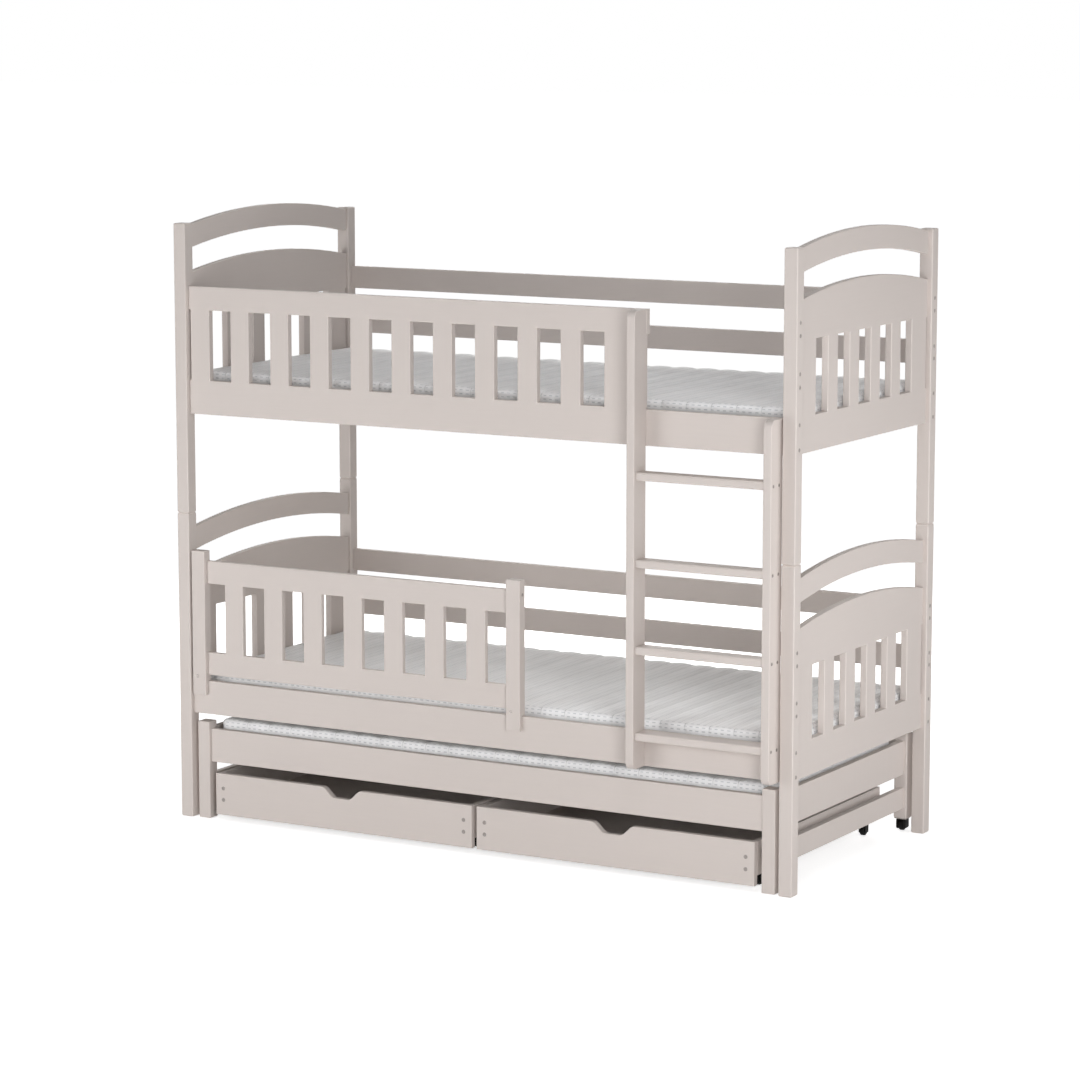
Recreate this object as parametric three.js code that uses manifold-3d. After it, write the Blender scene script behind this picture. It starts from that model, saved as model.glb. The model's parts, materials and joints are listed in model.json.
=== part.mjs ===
// Bunk bed with a pull-out trundle bed and two wheeled drawers, in millimetres.
// X runs along the bed, Y from the ladder side to the wall side, Z up.
// The origin is on the floor, in the middle of the bed's outer box.
import * as THREE from 'three';
import { mergeVertices } from 'three/addons/utils/BufferGeometryUtils.js';
import Module from 'manifold-3d';

const wasm = await Module();
wasm.setup();

// Clearances
const FIT = 0.3;
const WHEEL_FIT = 0.4;
const CHEEK_FIT = 1;

// Posts, in two lengths that stand on each other
const BED_LENGTH = 1980;
const BED_DEPTH = 900;
const POST = 40;
const POST_EDGE = 4;
const POST_END_CHAMFER = 3;
const POST_HEIGHT = 1730;
const POST_TOP_RISE = 6;
const POST_JOINT_RISE = 46.5;

// Round seats sunk for bolt heads and plugs
const SEAT_RADIUS = 6;
const SEAT_DEPTH = 2.5;
const SEAT_STEPS = 16;
const SEAT_INSET = 16;
const SEAT_FROM_FRONT = 21;
const SCREW_SEAT_RADIUS = 5;

// Boards
const BOARD = 20;
const BOARD_EDGE = 1.5;
const FRONT_RECESS = 14;
const END_RECESS = 13;
const RAIL_BOTTOM = 308.5;
const RAIL_HEIGHT = 98;
const OPENING_HEIGHT = 202;
const GUARD_RAIL_HEIGHT = 67;
const MIDDLE_BOARD_DROP = 135;
const SLAT_POST_GAP = 6;
const CUTTER_OVERRUN = 0.5;
const CORNER_STEPS = 1.5;

// Cleats, slatted bases and mattresses
const CLEAT = 20;
const CLEAT_LIFT = 3;
const BASE_SLAT_WIDTH = 68;
const BASE_SLAT = 14;
const BASE_SLAT_PITCH = 148;
const BASE_SIDE_GAP = 2;
const WEBBING_WIDTH = 30;
const WEBBING = 3;
const WEBBING_INSET = 1;
const WEBBING_SPREAD = 220;
const MATTRESS_HEIGHT = 90;
const MATTRESS_END_GAP = 7;
const MATTRESS_SIDE_GAP = 20;
const TRUNDLE_MATTRESS_GAP = 15;
const MATTRESS_CORNER = 35;
const MATTRESS_EDGE = 14;
const MATTRESS_CROWN = 4;
const MATTRESS_PULL = 3;
const MATTRESS_END_STEPS = 4;
const MATTRESS_SIDE_STEPS = 8;
const MATTRESS_CORNER_STEPS = 3;
const MATTRESS_EDGE_STEPS = 2;
const MATTRESS_CROWN_STEPS = 3;
const MATTRESS_CROWN_REACH = 0.8;

// End panels and arched head rails
const PANEL_OPENINGS = 5;
const PANEL_OPENING_WIDTH = 74;
const PANEL_END_SLAT = 97.7;
const PANEL_TOP_BOARD = 105;
const HEAD_RAIL_GAP = 70;
const HEAD_RAIL_HEIGHT = 65.5;
const ARCH_RISE = 37;
const ARCH_STEPS = 16;

// Upper guard, glued up with the upper side rail
const GUARD_OPENINGS = 10;
const GUARD_OPENING_WIDTH = 73;
const GUARD_FIRST_SLAT = 65;
const GUARD_LAST_SLAT = 122;
const GUARD_RAIL_OVERHANG = 7;

// Ladder
const STILE = 24;
const STILE_DEPTH = 67;
const STILE_CORNER = 25;
const LADDER_POST_GAP = 5;
const STEP_LENGTH = 383;
const STEP_DEPTH = 50;
const STEP = 22;
const STEP_SETBACK = 8;
const STEP_COUNT = 4;
const STEP_FIRST_LIFT = 3.5;
const STEP_LAST_DROP = 163;
const STEP_EDGE = 4;
const STEP_SCREW_INSET = 6.5;
const STEP_SCREW_SPREAD = 33;

// Lower guard, screwed to the lower side rail
const LOW_GUARD_POST_GAP = 7;
const LOW_GUARD_STILE = 45;
const LOW_GUARD_STILE_DEPTH = 30;
const LOW_GUARD_STILE_DROP = 40;
const LOW_GUARD_STILE_RISE = 29;
const LOW_GUARD_PANEL_LIFT = 18.5;
const LOW_GUARD_PANEL_BOARD = 17;
const LOW_GUARD_RAIL_HEIGHT = 66;
const LOW_GUARD_OPENING_HEIGHT = 202;
const LOW_GUARD_OPENINGS = 8;
const LOW_GUARD_FIRST_OPENING = 62;
const LOW_GUARD_SCREW_INSET = 16;
const LOW_GUARD_SCREW_RISE = 54;

// Trundle frame
const TRUNDLE_POST_GAP = 15;
const TRUNDLE_FRONT = 10;
const TRUNDLE_TOP_GAP = 22.5;
const TRUNDLE_LEG_RISE = 21;
const TRUNDLE_RAIL_RECESS = 10;
const TRUNDLE_STRETCHER_GAP = 39;
const TRUNDLE_STRETCHER_HEIGHT = 61;
const TRUNDLE_GLUE_DEPTH = 4;

// Drawers
const DRAWER_GAP = 16;
const DRAWER_LEG_GAP = 21;
const DRAWER_BACK_GAP = 90;
const DRAWER_BOTTOM = 15;
const DRAWER_TOP_GAP = 30;
const DRAWER_SIDE = 16;
const DRAWER_SIDE_LIFT = 27;
const DRAWER_SIDE_DROP = 1.5;
const DRAWER_PANEL = 5;
const DRAWER_PANEL_LIFT = 3;
const DRAWER_PANEL_GROOVE = 3;
const NOTCH_TOP_WIDTH = 118;
const NOTCH_FOOT_WIDTH = 58;
const NOTCH_DEPTH = 29;
const NOTCH_ROUND = 10;
const PLUG_INSET = 26;
const PLUG_SPREAD = 34;
const PLUG_DROP = 60;

// Wheels and their forks
const WHEEL_RADIUS = 16;
const WHEEL_WIDTH = 14;
const WHEEL_STEPS = 12;
const AXLE_RADIUS = 3;
const CHEEK = 3;
const CHEEK_DEPTH = 20;
const CHEEK_FOOT = 9;
const FORK_TOP = 4;
const FORK_INSET = 1;
const DRAWER_WHEEL_INSET = 28;
const DRAWER_WHEEL_FRONT_INSET = 64;
const DRAWER_WHEEL_BACK_INSET = 46;
const CASTER_PLATE = 36;

// Places that follow from the sizes, along Y
const LADDER_PROUD = STILE_DEPTH + FIT - FRONT_RECESS;
const FRONT = (LADDER_PROUD - BED_DEPTH) / 2;
const BACK = FRONT + BED_DEPTH;
const MIDDLE = (FRONT + BACK) / 2;
const FRONT_BOARD = FRONT + FRONT_RECESS;
const RAIL_INNER = FRONT_BOARD + BOARD;
const BACK_BOARD = BACK - POST + FRONT_RECESS;
const TRUNDLE_LEG_FRONT = FRONT + TRUNDLE_FRONT;
const TRUNDLE_LEG_BACK = BACK - POST;
const DRAWER_NEAR = TRUNDLE_LEG_FRONT + BOARD;
const DRAWER_FAR = BACK - DRAWER_BACK_GAP;

// Places along X
const END = BED_LENGTH / 2;
const INNER_END = END - POST;
const STILE_RIGHT_X = INNER_END - LADDER_POST_GAP - STILE / 2;
const STILE_LEFT_X = STILE_RIGHT_X - STILE - STEP_LENGTH;
const GUARD_RAIL_END = STILE_LEFT_X + STILE / 2;
const GUARD_END = GUARD_RAIL_END - GUARD_RAIL_OVERHANG;
const GUARD_START = -INNER_END + SLAT_POST_GAP;
const GUARD_FIRST_OPENING = GUARD_START + GUARD_FIRST_SLAT;
const GUARD_LAST_OPENING = GUARD_END - GUARD_LAST_SLAT - GUARD_OPENING_WIDTH;
const GUARD_OPENING_PITCH = (GUARD_LAST_OPENING - GUARD_FIRST_OPENING) / (GUARD_OPENINGS - 1);
const TRUNDLE_END = INNER_END - TRUNDLE_POST_GAP;
const DRAWER_WIDTH = TRUNDLE_END - POST - DRAWER_LEG_GAP - DRAWER_GAP / 2;

// Heights; the upper bunk repeats the lower one, higher by UNIT_RISE
const OPENING_BOTTOM = RAIL_BOTTOM + RAIL_HEIGHT;
const OPENING_TOP = OPENING_BOTTOM + OPENING_HEIGHT;
const GUARD_TOP = OPENING_TOP + GUARD_RAIL_HEIGHT;
const PANEL_SHOULDER = OPENING_TOP + PANEL_TOP_BOARD;
const HEAD_RAIL_BOTTOM = PANEL_SHOULDER + HEAD_RAIL_GAP;
const HEAD_RAIL_TOP = HEAD_RAIL_BOTTOM + HEAD_RAIL_HEIGHT;
const POST_JOINT_Z = HEAD_RAIL_TOP + POST_JOINT_RISE;
const UNIT_RISE = POST_HEIGHT - POST_TOP_RISE - HEAD_RAIL_TOP;
const BASE_SEAT = CLEAT_LIFT + CLEAT + FIT;
const MATTRESS_SEAT = BASE_SEAT + BASE_SLAT + FIT;
const TRUNDLE_LEG_TOP = RAIL_BOTTOM - TRUNDLE_TOP_GAP;
const TRUNDLE_RAIL_BOTTOM = TRUNDLE_LEG_TOP - TRUNDLE_LEG_RISE - RAIL_HEIGHT;
const DRAWER_TOP = TRUNDLE_RAIL_BOTTOM - DRAWER_TOP_GAP;
const WHEEL_HEAD = 2 * WHEEL_RADIUS + FORK_TOP + 2 * CHEEK_FIT;

const SIDES = [['left', -1], ['right', 1]];

const paint = new THREE.MeshStandardMaterial({ color: 0xd5ccc7, roughness: 0.45, metalness: 0 });
const bareWood = new THREE.MeshStandardMaterial({ color: 0xd9bf95, roughness: 0.7, metalness: 0 });
const ticking = new THREE.MeshStandardMaterial({ color: 0xeceded, roughness: 0.9, metalness: 0 });
const blackPlastic = new THREE.MeshStandardMaterial({ color: 0x1b1b1c, roughness: 0.5, metalness: 0 });

// Outlines

// A closed outline through corners [x, y] or [x, y, radius]; a corner with a radius becomes a curve,
// of the given steps or of more of them the larger it is.
function outline(corners, steps = 0) {
  const points = [];
  corners.forEach(([x, y, radius = 0], i) => {
    const corner = new THREE.Vector2(x, y);
    if (radius === 0) {
      points.push(corner);
      return;
    }
    const towards = (neighbour) => {
      const away = new THREE.Vector2(neighbour[0], neighbour[1]).sub(corner);
      return away.setLength(radius).add(corner);
    };
    const before = towards(corners.at(i - 1));
    const after = towards(corners[(i + 1) % corners.length]);
    const curve = new THREE.QuadraticBezierCurve(before, corner, after);
    points.push(...curve.getPoints(steps || Math.ceil(CORNER_STEPS * Math.sqrt(radius))));
  });
  return points;
}

function rectangle(x0, y0, x1, y1, radius = 0) {
  return [[x0, y0, radius], [x1, y0, radius], [x1, y1, radius], [x0, y1, radius]];
}

// Points of a circular arch of the given half span and rise, from +half to -half.
function arch(half, springing, rise) {
  const radius = (half * half + rise * rise) / (2 * rise);
  const points = [];
  for (let i = 0; i <= ARCH_STEPS; i++) {
    const x = half * (1 - (2 * i) / ARCH_STEPS);
    points.push([x, springing + rise - radius + Math.sqrt(radius * radius - x * x)]);
  }
  return points;
}

// Centres of evenly spaced repeats, the middle one at zero.
function spread(count, pitch) {
  return Array.from({ length: count }, (_, i) => (i - (count - 1) / 2) * pitch);
}

// Solids

const AXIS_X = new THREE.Vector3(1, 0, 0);
const AXIS_Y = new THREE.Vector3(0, 1, 0);
const AXIS_Z = new THREE.Vector3(0, 0, 1);

// Lays a drawn section on its plane: (y, z) for a run along X, (x, z) along Y, (x, y) along Z.
function laidAlong(axis, from, to) {
  const turn = new THREE.Matrix4();
  if (axis === 'x') return turn.makeBasis(AXIS_Y, AXIS_Z, AXIS_X).setPosition(from, 0, 0);
  if (axis === 'y') return turn.makeBasis(AXIS_X, AXIS_Z, AXIS_Y.clone().negate()).setPosition(0, to, 0);
  return turn.setPosition(0, 0, from);
}

// Extrudes an outline along an axis; the ends flare out by the given edge, or draw in where it is negative.
function extruded(axis, from, to, corners, flare, end) {
  const geometry = new THREE.ExtrudeGeometry(new THREE.Shape(outline(corners)), {
    depth: to - from - 2 * end,
    bevelEnabled: true,
    bevelThickness: end,
    bevelSize: -flare,
    bevelOffset: flare,
    bevelSegments: 1,
  });
  geometry.translate(0, 0, end);
  return geometry.applyMatrix4(laidAlong(axis, from, to));
}

// A board sawn to an outline, with openings cut through it and every face edge broken by a chamfer.
function board(axis, from, to, corners, { openings = [], edge = BOARD_EDGE } = {}) {
  const blank = extruded(axis, from, to, corners, -edge, edge);
  if (openings.length === 0) return blank;
  const reach = edge + CUTTER_OVERRUN;
  const cutters = openings.map((opening) => extruded(
    axis, from - CUTTER_OVERRUN, to + CUTTER_OVERRUN, opening, reach, reach,
  ));
  return geometryOf(cutters.map(toSolid).reduce((rest, cutter) => rest.subtract(cutter), toSolid(blank)));
}

// A straight run of one cross-section, with its ends sawn square.
function run(axis, from, to, corners) {
  const shape = new THREE.Shape(outline(corners, 1));
  const geometry = new THREE.ExtrudeGeometry(shape, { depth: to - from, bevelEnabled: false });
  return geometry.applyMatrix4(laidAlong(axis, from, to));
}

function block(x0, y0, z0, x1, y1, z1) {
  const geometry = new THREE.BoxGeometry(x1 - x0, y1 - y0, z1 - z0);
  return geometry.translate((x0 + x1) / 2, (y0 + y1) / 2, (z0 + z1) / 2);
}

function toSolid(geometry) {
  const bare = geometry.clone();
  bare.deleteAttribute('normal');
  bare.deleteAttribute('uv');
  const merged = mergeVertices(bare, 1e-3);
  return new wasm.Manifold(new wasm.Mesh({
    numProp: 3,
    vertProperties: merged.attributes.position.array,
    triVerts: new Uint32Array(merged.index.array),
  }));
}

function geometryOf(solid) {
  const { vertProperties, triVerts } = solid.getMesh();
  const geometry = new THREE.BufferGeometry();
  geometry.setAttribute('position', new THREE.BufferAttribute(vertProperties, 3));
  geometry.setIndex(new THREE.BufferAttribute(triVerts, 1));
  geometry.computeVertexNormals();
  return geometry;
}

// Pieces that are glued or moulded as one.
function joined(geometries) {
  return geometryOf(geometries.map(toSolid).reduce((sum, next) => sum.add(next)));
}

function piece(group, name, geometry, material, x = 0, y = 0, z = 0) {
  const mesh = new THREE.Mesh(geometry, material);
  mesh.name = name;
  mesh.position.set(x, y, z);
  group.add(mesh);
}

// Shallow round seats sunk straight into a face that looks along the axis, centred on points of it.
function seated(geometry, axis, points, radius = SEAT_RADIUS) {
  const seats = points.map((point) => {
    const cutter = new THREE.CylinderGeometry(radius, radius, 2 * SEAT_DEPTH, SEAT_STEPS);
    if (axis === 'x') cutter.rotateZ(Math.PI / 2);
    return cutter.translate(...point);
  });
  return geometryOf(seats.map(toSolid).reduce((rest, seat) => rest.subtract(seat), toSolid(geometry)));
}

// Posts

// Heights of the bolts through a post: two into each board that ends on it.
function boltHeights() {
  const boards = [
    [RAIL_BOTTOM, RAIL_HEIGHT],
    [GUARD_TOP - MIDDLE_BOARD_DROP - GUARD_RAIL_HEIGHT, GUARD_RAIL_HEIGHT],
    [GUARD_TOP - GUARD_RAIL_HEIGHT, GUARD_RAIL_HEIGHT],
  ];
  return boards.flatMap(([bottom, height]) => [bottom + SEAT_INSET, bottom + height - SEAT_INSET]);
}

// Drawn round its own centre line, standing on zero, with bolt seats in the face towards side.
function post(height, side, seatHeights) {
  const half = POST / 2;
  const blank = board('z', 0, height, rectangle(-half, -half, half, half, POST_EDGE), {
    edge: POST_END_CHAMFER,
  });
  return seated(blank, 'x', seatHeights.map((z) => [side * half, SEAT_FROM_FRONT - half, z]));
}

function posts(bed) {
  const half = POST / 2;
  for (const [sideName, side] of SIDES) {
    const x = side * (END - half);
    for (const [faceName, y] of [['front', FRONT + half], ['back', BACK - half]]) {
      const lower = post(POST_JOINT_Z - FIT, side, boltHeights());
      const upperBolts = boltHeights().map((z) => z + UNIT_RISE - POST_JOINT_Z);
      const upper = post(POST_HEIGHT - POST_JOINT_Z, side, upperBolts);
      piece(bed, `lower_post_${faceName}_${sideName}`, lower, paint, x, y);
      piece(bed, `upper_post_${faceName}_${sideName}`, upper, paint, x, y, POST_JOINT_Z);
    }
  }
}

// One bunk's end panel: two boards with slats between them, set back from the posts beside the slats.
function endPanel() {
  const half = BED_DEPTH / 2 - POST - FIT;
  const slatEnd = half - SLAT_POST_GAP;
  const openingEnd = slatEnd - PANEL_END_SLAT;
  const pitch = (2 * openingEnd - PANEL_OPENING_WIDTH) / (PANEL_OPENINGS - 1);
  const corners = [[-half, RAIL_BOTTOM], [half, RAIL_BOTTOM], ...arch(half, PANEL_SHOULDER, ARCH_RISE)];
  const openings = spread(PANEL_OPENINGS, pitch).map((y) => rectangle(
    y - PANEL_OPENING_WIDTH / 2, OPENING_BOTTOM,
    y + PANEL_OPENING_WIDTH / 2, OPENING_TOP,
  ));
  for (const side of [-1, 1]) openings.push(sideGap(side, slatEnd, OPENING_BOTTOM, OPENING_TOP));
  return board('x', -BOARD / 2, BOARD / 2, corners, { openings });
}

// A gap that runs out past the end of a board, on its low (-1) or high (1) side, from inner outwards.
function sideGap(side, inner, bottom, top) {
  const past = inner + 2 * SLAT_POST_GAP;
  return side > 0 ? rectangle(inner, bottom, past, top) : rectangle(-past, bottom, -inner, top);
}

// The arched rail between the post tops.
function headRail() {
  const half = BED_DEPTH / 2 - POST - FIT;
  const under = arch(half, HEAD_RAIL_BOTTOM, ARCH_RISE).reverse();
  const over = arch(half, HEAD_RAIL_TOP, ARCH_RISE);
  return board('x', -BOARD / 2, BOARD / 2, [...under, ...over]);
}

// A rail and the cleat glued to its inner face, which lies towards +Y (inward 1) or -Y (inward -1).
function cleatedRail(half, outerY, inward, bottom) {
  const shelf = bottom + CLEAT_LIFT;
  const section = [
    [0, bottom, BOARD_EDGE],
    [BOARD, bottom, BOARD_EDGE],
    [BOARD, shelf],
    [BOARD + CLEAT, shelf],
    [BOARD + CLEAT, shelf + CLEAT],
    [BOARD, shelf + CLEAT],
    [BOARD, bottom + RAIL_HEIGHT, BOARD_EDGE],
    [0, bottom + RAIL_HEIGHT, BOARD_EDGE],
  ];
  return run('x', -half, half, section.map(([depth, z, round]) => [outerY + inward * depth, z, round]));
}

// Side rail, slats and top rail of the upper front, glued up as one panel, with its cleat.
function upperFrontPanel() {
  const end = INNER_END - FIT;
  const corners = [
    [-end, RAIL_BOTTOM],
    [end, RAIL_BOTTOM],
    [end, OPENING_BOTTOM],
    [GUARD_END, OPENING_BOTTOM],
    [GUARD_END, OPENING_TOP],
    [GUARD_RAIL_END, OPENING_TOP],
    [GUARD_RAIL_END, GUARD_TOP],
    [-end, GUARD_TOP],
  ];
  const openings = Array.from({ length: GUARD_OPENINGS }, (_, i) => {
    const x = GUARD_FIRST_OPENING + i * GUARD_OPENING_PITCH;
    return rectangle(x, OPENING_BOTTOM, x + GUARD_OPENING_WIDTH, OPENING_TOP);
  });
  openings.push(sideGap(-1, -GUARD_START, OPENING_BOTTOM, OPENING_TOP));
  const shelf = RAIL_BOTTOM + CLEAT_LIFT;
  return joined([
    board('y', FRONT_BOARD, RAIL_INNER, corners, { openings }),
    block(-end, RAIL_INNER - CUTTER_OVERRUN, shelf, end, RAIL_INNER + CLEAT, shelf + CLEAT),
  ]);
}

// Slats held at their pitch by two strips of webbing stapled beneath them.
// They reach from near to far, the inner faces of the rails.
function slattedBase(length, near, far, railBottom) {
  const bottom = railBottom + BASE_SEAT;
  const count = Math.floor((length - BASE_SLAT_WIDTH) / BASE_SLAT_PITCH) + 1;
  const centres = spread(count, BASE_SLAT_PITCH);
  const slats = centres.map((x) => block(
    x - BASE_SLAT_WIDTH / 2, near + BASE_SIDE_GAP, bottom,
    x + BASE_SLAT_WIDTH / 2, far - BASE_SIDE_GAP, bottom + BASE_SLAT,
  ));
  const strips = [-1, 1].map((side) => {
    const y = (near + far) / 2 + side * WEBBING_SPREAD;
    return block(
      centres[0], y - WEBBING_WIDTH / 2, bottom - WEBBING + WEBBING_INSET,
      centres.at(-1), y + WEBBING_WIDTH / 2, bottom + WEBBING_INSET,
    );
  });
  return joined([...slats, ...strips]);
}

// Mattresses

// One ring round a mattress, anticlockwise from above; each side is drawn in between its corners.
function mattressRing(length, width, inset, z) {
  const corner = Math.max(MATTRESS_CORNER - inset, MATTRESS_EDGE / 2);
  const halves = [length / 2 - inset, width / 2 - inset];
  const ring = [];
  for (let side = 0; side < 4; side++) {
    const turn = (side * Math.PI) / 2;
    const out = new THREE.Vector3(Math.cos(turn), Math.sin(turn), 0);
    const along = new THREE.Vector3(-Math.sin(turn), Math.cos(turn), 0);
    const reach = halves[side % 2];
    const stretch = halves[1 - (side % 2)] - corner;
    const steps = side % 2 === 0 ? MATTRESS_END_STEPS : MATTRESS_SIDE_STEPS;
    for (let i = 0; i <= steps; i++) {
      const pull = MATTRESS_PULL * Math.sin((Math.PI * i) / steps);
      const point = out.clone().multiplyScalar(reach - pull);
      ring.push(point.addScaledVector(along, stretch * ((2 * i) / steps - 1)).setZ(z));
    }
    const centre = out.clone().multiplyScalar(reach - corner).addScaledVector(along, stretch);
    for (let i = 1; i < MATTRESS_CORNER_STEPS; i++) {
      const angle = turn + (Math.PI / 2) * (i / MATTRESS_CORNER_STEPS);
      const spoke = new THREE.Vector3(Math.cos(angle), Math.sin(angle), 0);
      ring.push(centre.clone().addScaledVector(spoke, corner).setZ(z));
    }
  }
  return ring;
}

// A closed body through rings of equally many points, from the lowest up, closed by a fan at each end.
function bodyOfRings(rings) {
  const size = rings[0].length;
  const points = rings.flat();
  const faces = [];
  for (let r = 0; r + 1 < rings.length; r++) {
    for (let i = 0; i < size; i++) {
      const here = r * size + i;
      const next = r * size + ((i + 1) % size);
      faces.push(here, next, next + size, here, next + size, here + size);
    }
  }
  const foot = points.push(new THREE.Vector3(0, 0, rings[0][0].z)) - 1;
  const head = points.push(new THREE.Vector3(0, 0, rings.at(-1)[0].z)) - 1;
  const top = (rings.length - 1) * size;
  for (let i = 0; i < size; i++) {
    const next = (i + 1) % size;
    faces.push(foot, next, i, head, top + i, top + next);
  }
  const geometry = new THREE.BufferGeometry().setFromPoints(points);
  geometry.setIndex(faces);
  geometry.computeVertexNormals();
  return geometry;
}

// Flat below, with rounded edges, sides drawn in at half height and a crowned top.
function mattress(length, width) {
  const side = MATTRESS_HEIGHT - MATTRESS_CROWN;
  const quarter = (i) => (Math.PI / 2) * (i / MATTRESS_EDGE_STEPS);
  const rings = [];
  for (let i = 0; i <= MATTRESS_EDGE_STEPS; i++) {
    const inset = MATTRESS_EDGE * (1 - Math.sin(quarter(i)));
    rings.push(mattressRing(length, width, inset, MATTRESS_EDGE * (1 - Math.cos(quarter(i)))));
  }
  rings.push(mattressRing(length, width, MATTRESS_PULL, side / 2));
  for (let i = 0; i <= MATTRESS_EDGE_STEPS; i++) {
    const inset = MATTRESS_EDGE * (1 - Math.cos(quarter(i)));
    rings.push(mattressRing(length, width, inset, side - MATTRESS_EDGE * (1 - Math.sin(quarter(i)))));
  }
  const slope = (width / 2 - MATTRESS_EDGE) * MATTRESS_CROWN_REACH;
  for (let i = 1; i <= MATTRESS_CROWN_STEPS; i++) {
    const share = i / MATTRESS_CROWN_STEPS;
    const rise = MATTRESS_CROWN * Math.sin((Math.PI / 2) * share);
    rings.push(mattressRing(length, width, MATTRESS_EDGE + slope * share, side + rise));
  }
  return bodyOfRings(rings);
}

// One bunk: end panels, head rails, front, back rail and boards, slatted base and mattress.
function bunk(bed, level, rise) {
  const unit = new THREE.Group();
  unit.position.z = rise;
  bed.add(unit);
  const half = INNER_END - FIT;
  for (const [sideName, side] of SIDES) {
    const x = side * (END - END_RECESS - BOARD / 2);
    piece(unit, `${level}_end_panel_${sideName}`, endPanel(), paint, x, MIDDLE);
    piece(unit, `${level}_head_rail_${sideName}`, headRail(), paint, x, MIDDLE);
  }
  if (level === 'upper') piece(unit, 'upper_front_panel', upperFrontPanel(), paint);
  else piece(unit, 'lower_front_rail', cleatedRail(half, FRONT_BOARD, 1, RAIL_BOTTOM), paint);
  const backFace = BACK_BOARD + BOARD;
  piece(unit, `${level}_back_rail`, cleatedRail(half, backFace, -1, RAIL_BOTTOM), paint);
  for (const [name, top] of [['top', GUARD_TOP], ['middle', GUARD_TOP - MIDDLE_BOARD_DROP]]) {
    const section = rectangle(BACK_BOARD, top - GUARD_RAIL_HEIGHT, backFace, top, BOARD_EDGE);
    piece(unit, `${level}_back_board_${name}`, run('x', -half, half, section), paint);
  }
  const base = slattedBase(2 * half, RAIL_INNER, BACK_BOARD, RAIL_BOTTOM);
  piece(unit, `${level}_slatted_base`, base, bareWood);
  const length = 2 * (END - END_RECESS - BOARD - MATTRESS_END_GAP);
  const bedding = mattress(length, BACK_BOARD - RAIL_INNER - 2 * MATTRESS_SIDE_GAP);
  const y = (RAIL_INNER + BACK_BOARD) / 2;
  piece(unit, `${level}_mattress`, bedding, ticking, 0, y, RAIL_BOTTOM + MATTRESS_SEAT);
}

// Ladder

// A stile whose front corners are rounded; its back face lies on the boards behind.
// Two screws go through its face towards side into the end of each step.
function stile(side, top, stepTops) {
  const back = FRONT_BOARD - FIT;
  const front = back - STILE_DEPTH;
  const blank = board('x', -STILE / 2, STILE / 2, [
    [front, RAIL_BOTTOM, STILE_CORNER],
    [back, RAIL_BOTTOM],
    [back, top],
    [front, top, STILE_CORNER],
  ]);
  const first = front + STEP_SETBACK + STEP_SCREW_INSET;
  const screws = stepTops.flatMap((z) => [first, first + STEP_SCREW_SPREAD].map((y) => (
    [(side * STILE) / 2, y, z - STEP / 2]
  )));
  return seated(blank, 'x', screws, SCREW_SEAT_RADIUS);
}

function ladder(bed) {
  const upperRailTop = OPENING_BOTTOM + UNIT_RISE;
  const firstTop = OPENING_BOTTOM + STEP_FIRST_LIFT;
  const pitch = (upperRailTop - STEP_LAST_DROP - firstTop) / (STEP_COUNT - 1);
  const stepTops = Array.from({ length: STEP_COUNT }, (_, i) => firstTop + i * pitch);
  const guardTop = GUARD_TOP + UNIT_RISE;
  piece(bed, 'ladder_stile_left', stile(-1, guardTop, stepTops), paint, STILE_LEFT_X);
  piece(bed, 'ladder_stile_right', stile(1, upperRailTop, stepTops), paint, STILE_RIGHT_X);
  const front = FRONT_BOARD - FIT - STILE_DEPTH + STEP_SETBACK;
  const from = STILE_LEFT_X + STILE / 2 + FIT;
  const to = STILE_RIGHT_X - STILE / 2 - FIT;
  stepTops.forEach((top, i) => {
    const section = rectangle(front, top - STEP, front + STEP_DEPTH, top, STEP_EDGE);
    piece(bed, `ladder_step_${i + 1}`, run('x', from, to, section), paint);
  });
}

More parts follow.
